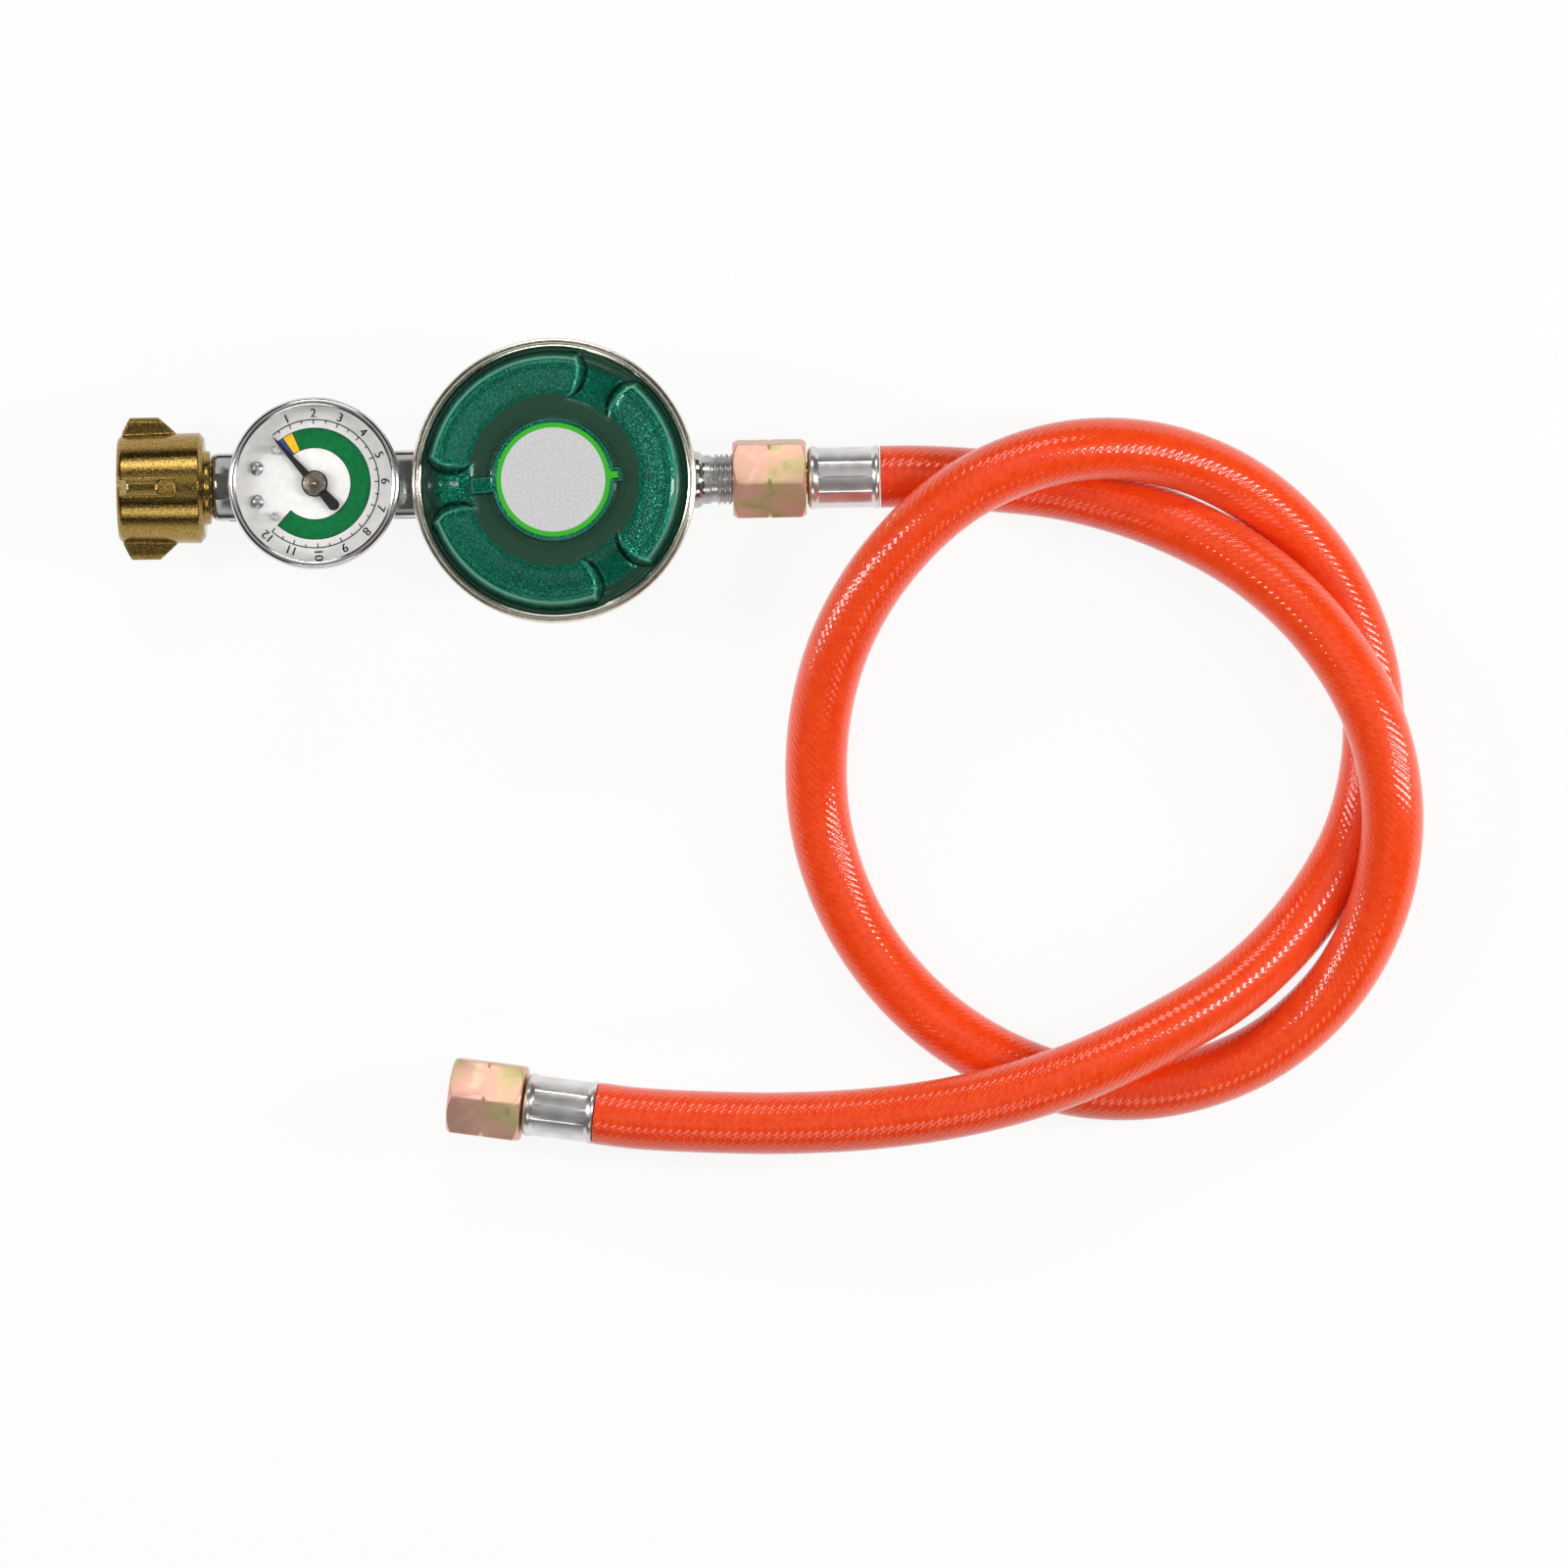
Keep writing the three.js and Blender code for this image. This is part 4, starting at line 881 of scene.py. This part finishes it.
def makeWingNut():
    face, radius, shoulder = (wingNutSettings[k] for k in ("face", "radius", "shoulder"))
    nut = spinOutline("wing_nut_forging", [
        (face, 0), (face, radius - 1.3), (face + 0.9, radius - 0.5), (-97, radius - 0.1),
        (shoulder - 1.2, radius), (shoulder, radius - 1.5), (shoulder, 9.6), (-88.9, 9.4), (-88.6, 9),
        (-88.6, 0),
    ], axis="X", steps=96)
    for i in range(4):
        combine(nut, "UNION", makeWing(i * math.pi / 2))
    combine(nut, "DIFFERENCE", spinOutline("bore", [
        (face - 1, 0), (face - 1, 11.7), (face + 1, 10.75), (-93.3, 10.75), (-93.3, 5.4), (-88, 5.4),
        (-88, 0),
    ], axis="X", steps=96))
    applyModifier(nut, "REMESH", mode="VOXEL", voxel_size=wingNutSettings["grain"] * mm)
    applyModifier(nut, "SMOOTH", factor=0.5, iterations=3)
    pitch = wingNutSettings["threadPitch"]
    joinPieces(nut, threadRidge("cylinderThread", face + 1.6, 8.6, pitch, 10.0, 10.85, inward=True))
    return movePiece(nut, Matrix.Translation(flowLine))


wingNut = makeWingNut()
finishPiece(wingNut, brassForging, ["inlet_wing_nut"], body="inlet_nut", smooth=40)
spunPiece(flowLine, "inlet_nipple_turned", [
    (-107, 3.4), (-107, 4.5), (-106.7, 4.8), (-104.8, 6.3), (-104.3, 6.4), (-96.2, 6.6), (-96, 6.8),
    (-96, 9.4), (-95.8, 9.6), (-93.8, 9.6), (-93.6, 9.4), (-93.6, 5.05), (-80.8, 5.05), (-80.4, 4.6),
    (-80.4, 3), (-86.4, 3), (-86.4, 2.1), (-88, 2.1), (-88, 3.4),
], turnedBrass, "turned_brass", ["inlet_nipple"], axis="X", steps=64, ring=True)
spunPiece(flowLine, "inlet_seal_ring", [
    (-99, 6.95), (-99, 9.2), (-98.6, 9.6), (-96.7, 9.6), (-96.3, 9.2), (-96.3, 6.95),
], sealRubber, "black_rubber", ["inlet_seal"], axis="X", steps=64, ring=True)
print("cylinder nut forged,", len(wingNut.data.polygons), "faces")


# Hose fittings: ferrule, tail and union nut, drawn from the hose's face along X

fittingSettings = {
    "acrossFlats": 19.0,
    "nutLength": 18.9,
    "nutMiddle": 28.55,
    "threadRadii": (6.0, 6.8),
    "crimpFlats": 12,
    "crimp": (2.2, 16),  # the tool's jaws closed from here to here
    "crimpDepth": 0.6,  # 1 would give sharp flats
    "ferrule": [(0.3, 4.6), (0.3, 7.7), (0.45, 8.0), (0.8, 8.15), (1.2, 8.15), (1.6, 8.0), (1.9, 7.84),
                (2.3, 7.78), (5.5, 7.76), (8, 7.76), (10.5, 7.76), (13.6, 7.76), (15.9, 7.78),
                (16.3, 7.86), (16.7, 8.05), (17.2, 8.2), (17.8, 8.12), (18.3, 7.75), (18.6, 7.2),
                (18.8, 6.4), (18.8, 4.6)],
    "tail": [(0.4, 2.8), (0.4, 4.2), (18.9, 4.2), (21.9, 4.2), (21.9, 6.1), (22.1, 6.3), (24.2, 6.3),
             (24.4, 6.1), (24.4, 5.7), (27.2, 4.95), (30.5, 3.9), (30.5, 2.8)],
}


def makeFerrule(name):
    ferrule = spinOutline(name, fittingSettings["ferrule"], axis="X", steps=120, ring=True)
    (start, end), half = fittingSettings["crimp"], math.pi / fittingSettings["crimpFlats"]
    for vertex in ferrule.data.vertices:
        x, y, z = vertex.co / mm
        if math.hypot(y, z) < 6 or not start < x < end:
            continue
        flat = math.cos(half) / math.cos(math.atan2(z, y) % (2 * half) - half)
        scale = 1 + (flat - 1) * fittingSettings["crimpDepth"]
        vertex.co.y *= scale
        vertex.co.z *= scale
    return ferrule


def makeHoseNut(name, turn):
    corner = fittingSettings["acrossFlats"] / 2 / math.cos(math.pi / 6)
    bpy.ops.mesh.primitive_cylinder_add(
        vertices=6, radius=corner * mm, depth=fittingSettings["nutLength"] * mm,
        location=Vector((fittingSettings["nutMiddle"], 0, 0)) * mm, rotation=(0, math.pi / 2, 0))
    nut = newest(name)
    applyPlace(nut)
    movePiece(nut, Matrix.Rotation(math.pi / 6, 4, "X"))  # a corner stands up, not a flat
    combine(nut, "INTERSECT", spinOutline("chamfer", [
        (19.0, 0), (19.0, 9.1), (20.6, 11.2), (36.5, 11.2), (38.1, 9.1), (38.1, 0),
    ], axis="X", steps=70))
    combine(nut, "DIFFERENCE", spinOutline("bore", [
        (18, 0), (18, 4.6), (21.6, 4.6), (21.6, 6.7), (37, 6.7), (39, 8), (39, 0),
    ], axis="X", steps=64))
    breakEdges(nut, 0.32, segments=3, angle=25)
    combine(nut, "DIFFERENCE", spinOutline("groove", [
        (27.5, 11.4), (28.4, 10.3), (28.7, 10.3), (29.6, 11.4),
    ], axis="X", steps=70, ring=True))
    root, crest = fittingSettings["threadRadii"]
    pitch = bodySettings["threadPitch"]
    joinPieces(nut, threadRidge(name + "Thread", 25.4, 8.2, pitch, root, crest, inward=True))
    return movePiece(nut, Matrix.Rotation(math.radians(turn), 4, "X"))


# The free end's fittings point away from the hose's last point
def fittingPlace(point, away):
    turn = Vector((1, 0, 0)).rotation_difference(away.normalized())
    return Matrix.Translation(point) @ turn.to_matrix().to_4x4()


outletPlace = Matrix.Translation(line[0]) @ Matrix.Rotation(math.pi, 4, "Y")
freePlace = fittingPlace(line[-1], line[-1] - line[-2])
for end, place, turn, nutBody in (
    ("outlet", outletPlace, -8.4, "root"), ("free", freePlace, -4.5, "free_nut"),
):
    ferrule = movePiece(makeFerrule(end + "_ferrule_crimped"), place)
    finishPiece(ferrule, ferruleSteel, [end + "_ferrule"], smooth=22)
    tail = spinOutline(end + "_tail_turned", fittingSettings["tail"], axis="X", steps=64, ring=True)
    movePiece(tail, place)
    finishPiece(tail, turnedBrass, [end + "_hose_tail"])
    nut = movePiece(makeHoseNut(end + "_nut_plated", turn), place)
    finishPiece(nut, nutZinc, [end + "_hose_nut"], body=nutBody, smooth=12)
print("hose fittings crimped on")


# Gauge

gaugeSettings = {
    "face": 41.6,  # top of the dial
    "print": 0.03,  # thickness of the printing
    "scaleRadius": 16.3,
    "scaleStart": 130.2,  # degrees from +X, as all angles here
    "numberRadius": 17.85,
    "numberSize": 3.1,
    "numberShift": 0.06,
    "line": 0.15,  # half the width of a printed line
    "bars": 12,
    "zeroAngle": 134.9,
    "perBar": 22.3,
    "bands": (9.25, 14.05),  # inner and outer radius
    "bandStops": (-132.6, 112.8, 124.4, 129.4),
    "bandLineStart": 129.5,
    "inkWeld": 1e-7,
    "rivets": [(-14.7, 4.1), (-14.7, -4.4)],
    "stopPins": [(13.1, 138.5), (13.0, -140.6)],  # radius, angle
    "pointerAngle": 131.0,
}

spunPiece(gaugeMiddle, "gauge_case_drawn", [
    (29.4, 5.5), (29.4, 19.2), (29.7, 19.9), (30.4, 20.8), (31.4, 21.25), (32, 21.3), (44.9, 21.3),
    (44.9, 20.5), (31.3, 20.5), (30.8, 20), (30.4, 19.4), (30.4, 5.5),
], gaugeChrome, "gauge_chrome", ["gauge_case"], steps=128, ring=True)
spunPiece(gaugeMiddle, "gauge_bezel_rolled", [
    (42, 21.6), (42, 21.9), (42.2, 22), (46.9, 22), (47.6, 21.85), (48.1, 21.4), (48.3, 20.9), (48.25, 20.4),
    (48.0, 20.05), (47.6, 19.9), (47.1, 19.9), (47.1, 21.6),
], gaugeChrome, "gauge_chrome", ["gauge_bezel"], steps=160, ring=True)
spunPiece(gaugeMiddle, "gauge_window_moulded", [
    (45.2, 0), (45.2, 20.9), (46.75, 20.9), (46.85, 19.6), (46.95, 17.5), (47.15, 12), (47.25, 6), (47.3, 0),
], windowAcrylic, "clear_window", ["gauge_window"], steps=128)
spunPiece(gaugeMiddle, "gauge_dial_plate", [(41, 1.2), (41, 20.1), (41.6, 20.1), (41.6, 1.2)],
          dialEnamel, "dial_enamel", ["gauge_dial"], steps=128, ring=True)
spunPiece(gaugeMiddle, "gauge_gasket", [(44.0, 19.95), (44.0, 20.45), (45.15, 20.45), (45.15, 19.95)],
          gasketRubber, "black_rubber", steps=128, ring=True)


# Flat printed shape: an arc from one angle to another, one ink layer thick
def printedArc(name, inner, outer, fromAngle, toAngle):
    low, start = gaugeSettings["face"], math.radians(fromAngle)
    high = low + gaugeSettings["print"]
    arc = drawChain(name, [Vector((r * math.cos(start), r * math.sin(start), z)) * mm for z, r in (
        (low, inner), (low, outer), (high, outer), (high, inner),
    )])
    bpy.ops.mesh.edge_face_add()
    selectAll()
    steps = max(1, int(abs(toAngle - fromAngle) / 2))
    bpy.ops.mesh.spin(steps=steps, angle=math.radians(fromAngle - toAngle), center=(0, 0, 0), axis=(0, 0, 1))
    selectAll()
    bpy.ops.mesh.remove_doubles(threshold=gaugeSettings["inkWeld"])
    leaveOutward()
    return arc


# Flat printed line along a radius
def printedLine(name, inner, outer, half, angle, thick):
    face = gaugeSettings["face"]
    bar = addBlock(name, (inner, -half, face), (outer, half, face + thick))
    return movePiece(bar, Matrix.Rotation(angle, 4, "Z"))


# The plain font is thin, so each number is set twice, a hair apart
def printedNumber(number, angle, shift):
    last = number == 10  # two digits stand upright
    radius = gaugeSettings["numberRadius"] + (0.3 if last else 0.0)
    turn = angle if last else angle - math.pi / 2
    place = Vector((radius * math.cos(angle) + shift * math.cos(turn),
                    radius * math.sin(angle) + shift * math.sin(turn), gaugeSettings["face"])) * mm
    bpy.ops.object.text_add(location=place, rotation=(0, 0, turn))
    text = bpy.context.object
    text.data.body = str(number)
    text.data.align_x = "CENTER"
    text.data.align_y = "CENTER"
    text.data.size = gaugeSettings["numberSize"] * mm
    text.data.extrude = gaugeSettings["print"] * mm
    bpy.ops.object.convert(target="MESH")
    applyPlace(text)
    return text


def printDial():
    zero, step, bars = (gaugeSettings[k] for k in ("zeroAngle", "perBar", "bars"))
    scale, width, thick = (gaugeSettings[k] for k in ("scaleRadius", "line", "print"))
    black = [printedArc("dial_scale_print", scale - width, scale + width, zero - bars * step,
                        gaugeSettings["scaleStart"])]
    for half in range(1, 2 * bars + 1):
        angle = math.radians(zero - half * step / 2)
        black.append(printedLine("tick", scale - (0.75 if half % 2 else 1.15), scale, width, angle, thick))
        if half % 2 == 0:
            for side in (-1, 1):
                black.append(printedNumber(half // 2, angle, side * gaugeSettings["numberShift"]))
    (inner, outer), stops = gaugeSettings["bands"], gaugeSettings["bandStops"]
    start = gaugeSettings["bandLineStart"]
    black.append(printedArc("bandOuterLine", outer - 0.02, outer + 0.2, stops[0], start))
    black.append(printedArc("bandInnerLine", inner - 0.2, inner + 0.02, stops[0], start))
    for angle in stops:
        black.append(printedLine("edge", inner - 0.2, outer + 0.2, 0.1, math.radians(angle), 0.035))
    printed = movePiece(joinPieces(*black), Matrix.Translation(gaugeMiddle))
    finishPiece(printed, dialBlack)
    inks = (("dial_green_band", dialGreen), ("dial_yellow_band", dialYellow), ("dial_blue_band", dialBlue))
    for (name, ink), low, high in zip(inks, stops, stops[1:]):
        band = movePiece(printedArc(name, inner, outer, low, high), Matrix.Translation(gaugeMiddle))
        finishPiece(band, ink)


printDial()
print("dial printed")

for i, (x, y) in enumerate(gaugeSettings["rivets"]):
    spunPiece(gaugeMiddle + Vector((x, y, 0)) * mm, f"dial_rivet_{i + 1}_head", [
        (40.4, 0), (40.4, 0.7), (41.9, 0.7), (41.9, 1.7), (42.1, 1.75), (42.45, 1.5), (42.75, 0.95),
        (42.9, 0),
    ], zincPlate, "plated_steel", [f"dial_rivet_{i + 1}"], steps=40)
for i, (radius, degrees) in enumerate(gaugeSettings["stopPins"]):
    angle = math.radians(degrees)
    across = Vector((radius * math.cos(angle), radius * math.sin(angle), 0)) * mm
    spunPiece(gaugeMiddle + across, f"stop_pin_{i + 1}_moulded", [
        (41.9, 0), (41.9, 1.15), (43.6, 1.15), (43.95, 0.9), (44.1, 0.6), (43.9, 0.3), (43.8, 0),
    ], pinNylon, "clear_window", [f"stop_pin_{i + 1}"], steps=32)


# Narrows or widens a flat part at one of its ends
def pinch(part, at, factor):
    for vertex in part.data.vertices:
        if abs(vertex.co.x / mm - at) < 0.1:
            vertex.co.y *= factor


def makePointer():
    low, high = 42.5, 42.9
    pointer = spinOutline("pointer_pressed", [
        (42.3, 0.95), (42.3, 3.3), (42.35, 3.35), (43.05, 3.35), (43.1, 3.3), (43.1, 0.95),
    ], steps=72, ring=True)
    blade = addBlock("blade", (3.0, -1.0, low), (14.6, 1.0, high))
    tip = addBlock("tip", (14.6, -0.2, low), (16.1, 0.2, high))
    tail = addBlock("tail", (-7.2, -1.45, low), (-3.0, 1.45, high))
    for part, at, factor in ((blade, 14.6, 0.3), (tip, 16.1, 0.2), (tip, 14.6, 1.23), (tail, -3.0, 0.8)):
        pinch(part, at, factor)
    end = Vector((-7.2, 0, 0)) * mm
    combine(tail, "UNION", spinAt(end, "tailEnd", [(low, 0), (low, 1.5), (high, 1.5), (high, 0)], steps=32))
    combine(pointer, "UNION", blade, tail)
    joinPieces(pointer, tip)
    turned = Matrix.Rotation(math.radians(gaugeSettings["pointerAngle"]), 4, "Z")
    return movePiece(pointer, Matrix.Translation(gaugeMiddle) @ turned)


finishPiece(makePointer(), pointerPaint, ["gauge_pointer"], body="pointer")
spunPiece(gaugeMiddle, "pointer_cap_turned", [
    (43.4, 0), (43.4, 2.85), (43.5, 2.95), (43.9, 2.92), (44.2, 2.8), (44.32, 2.5), (44.36, 0.5),
    (44.3, 0.42), (44.3, 0),
], capNickel, "plated_steel", ["pointer_cap"], body="pointer", steps=64)
spunPiece(gaugeMiddle, "arbor_end_turned", [(44.2, 0), (44.2, 0.36), (44.5, 0.36), (44.6, 0.2), (44.62, 0)],
          turnedBrass, "turned_brass", body="pointer", steps=32)
print("gauge built")


# Main spring and diaphragm

liftSettings = {
    "travel": 2.0,
    "spring": {"radius": 9.4, "wire": 0.85, "bottom": 29.7, "top": 40.0, "turns": 4},
    "clamp": 32.4,  # height at which the diaphragm's rim is held
    "diaphragm": [
        (27.2, 2.4), (27.2, 17.4), (28.4, 19.4), (30.2, 21.4), (31.0, 22.8), (31.2, 24), (31.1, 25.6),
        (30.6, 27.4), (30.4, 28.4), (30.9, 29.8), (31.9, 31.2), (31.9, 35.8), (32.9, 35.8), (32.9, 30.9),
        (31.9, 29.5), (31.4, 28.2), (31.6, 27.1), (32.1, 25.6), (32.2, 24.2), (31.9, 22.4), (31.2, 20.8),
        (29.4, 18.8), (28.2, 17), (28.2, 2.4),
    ],
}


def makeSpring(name, radius, wire, bottom, top, turns):
    bpy.ops.mesh.primitive_circle_add(vertices=16, radius=wire * mm, rotation=(math.pi / 2, 0, 0),
                                      location=Vector((radius, 0, bottom + wire)) * mm)
    spring = newest(name)
    applyPlace(spring)
    drawScrew(spring, "Z", turns, top - bottom - 2 * wire, 48)
    editAll(spring)
    bpy.ops.mesh.fill_holes(sides=0)
    leaveOutward()
    return spring


# Gives the piece a mesh of its own
def flatten(piece):
    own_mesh(piece)


mainSpring = makeSpring("main_spring_wound", **liftSettings["spring"])
finishPiece(mainSpring, springWire, ["main_spring"])
flatten(mainSpring)
diaphragm = spinOutline("diaphragm_moulded", liftSettings["diaphragm"], steps=96, ring=True)
finishPiece(diaphragm, sealRubber, ["diaphragm"])
flatten(diaphragm)
print("main spring and diaphragm fitted")


# The other inner parts keep their CAD shape and get their real finish

innerFinishes = [
    (turnedBrass, ["spring_adjuster", "diaphragm_stem", "relief_nut", "valve_piston", "valve_nozzle",
                   "inlet_filter", "excess_flow_poppet", "pinion_arbor", "sector_gear", "movement_link",
                   "bourdon_tube", "gauge_socket", "movement_lower_plate", "movement_upper_plate"]),
    (zincPlate, ["diaphragm_plate", "valve_lever", "lever_pin"]),
    (springWire, ["relief_spring", "excess_flow_spring"]),
    (sealRubber, ["valve_pad"]),
]
for finish, nodeNames in innerFinishes:
    for nodeName in nodeNames:
        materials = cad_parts[nodeName].data.materials
        materials.clear()
        materials.append(finish)
print("inner parts finished")


# Table, lamps and background

studioSettings = {
    "floorTone": "f2f2f1",
    "floorGlow": 0.9,  # how much of the floor the camera sees as plain white
    "aim": (0.06, -0.06, 0.02),
    "lamps": [  # place, size, watts
        ((-0.85, 0.1, 0.62), (0.13, 0.9), 6.6),
        ((0.95, -0.05, 0.62), (0.13, 0.9), 8.2),
        ((0.05, 1.0, 0.8), (0.9, 0.26), 3.8),
        ((0.05, -1.0, 0.8), (0.9, 0.26), 2.2),
    ],
    # grey of the room by height: 0 straight down, 0.5 level, 1 overhead. Bright cloth hangs above
    # unlit walls, with a dark opening for the camera in its middle
    "sky": [(0.0, "f0f0f0"), (0.5, "e4e4e4"), (0.53, "8a8a8a"), (0.57, "262422"), (0.935, "242220"),
            (0.962, "d8d8d8"), (1.0, "e8e8e8")],
    "opening": "444444",
    "openingEdge": (14.0, 9.0),  # degrees from overhead where the cloth ends, and where it is all dark
    "skyLean": 5.0,  # degrees that the bright cloth leans towards +Y
    "skyStrength": 1.0,
}


def makeFloor():
    bpy.ops.mesh.primitive_plane_add(size=6)
    floor = newest("table_top")
    material, tree, shader = newMaterial("paperTable", {
        "Base Color": linearColour(studioSettings["floorTone"]), "Roughness": 0.9,
    })
    rays = addNode(tree, "ShaderNodeLightPath").outputs
    direct = addMath(tree, "MAXIMUM", rays["Is Camera Ray"], rays["Is Glossy Ray"])
    seen = addMath(tree, "MAXIMUM", direct, rays["Is Transmission Ray"])
    white = addNode(tree, "ShaderNodeEmission", {"Color": (1, 1, 1, 1), "Strength": 1.0})
    mixed = addNode(tree, "ShaderNodeMixShader", links={
        0: addMath(tree, "MULTIPLY", seen, studioSettings["floorGlow"]), 1: shader.outputs["BSDF"],
        2: white.outputs["Emission"],
    })
    plugIn(tree, tree.nodes["Material Output"], {"Surface": mixed.outputs["Shader"]})
    floor.data.materials.append(material)


def makeLamps():
    for i, (place, size, power) in enumerate(studioSettings["lamps"]):
        data = bpy.data.lights.new(f"softbox{i + 1}", "AREA")
        data.shape = "RECTANGLE"
        data.size, data.size_y = size
        data.energy = power
        lamp = bpy.data.objects.new(f"softbox{i + 1}", data)
        lamp.location = place
        toMiddle = Vector(studioSettings["aim"]) - Vector(place)
        lamp.rotation_euler = toMiddle.to_track_quat("-Z", "Y").to_euler()
        scene.collection.objects.link(lamp)


def makeSky():
    world = bpy.data.worlds.new("studio")
    scene.world = world
    world.use_nodes = True
    tree = world.node_tree
    background = tree.nodes["Background"]
    place = addNode(tree, "ShaderNodeTexCoord").outputs["Generated"]
    lean = math.radians(studioSettings["skyLean"])
    towards = {"operation": "DOT_PRODUCT", 1: (0.0, math.sin(lean), math.cos(lean))}
    height = addNode(tree, "ShaderNodeVectorMath", towards, {0: place}).outputs["Value"]
    cloth = addRamp(tree, addRange(tree, height, 0.0, 1.0, start=-1.0), studioSettings["sky"])
    outer, inner = [math.cos(math.radians(edge)) for edge in studioSettings["openingEdge"]]
    cap = addRange(tree, splitPlace(tree, place)["Z"], 0.0, 1.0, start=outer, end=inner)
    room = tint(tree, cap, cloth, studioSettings["opening"])
    cameraRay = addNode(tree, "ShaderNodeLightPath").outputs["Is Camera Ray"]
    plugIn(tree, background, {"Color": tint(tree, cameraRay, room, "ffffff")})
    background.inputs["Strength"].default_value = studioSettings["skyStrength"]


makeFloor()
makeLamps()
makeSky()
print("studio lit")
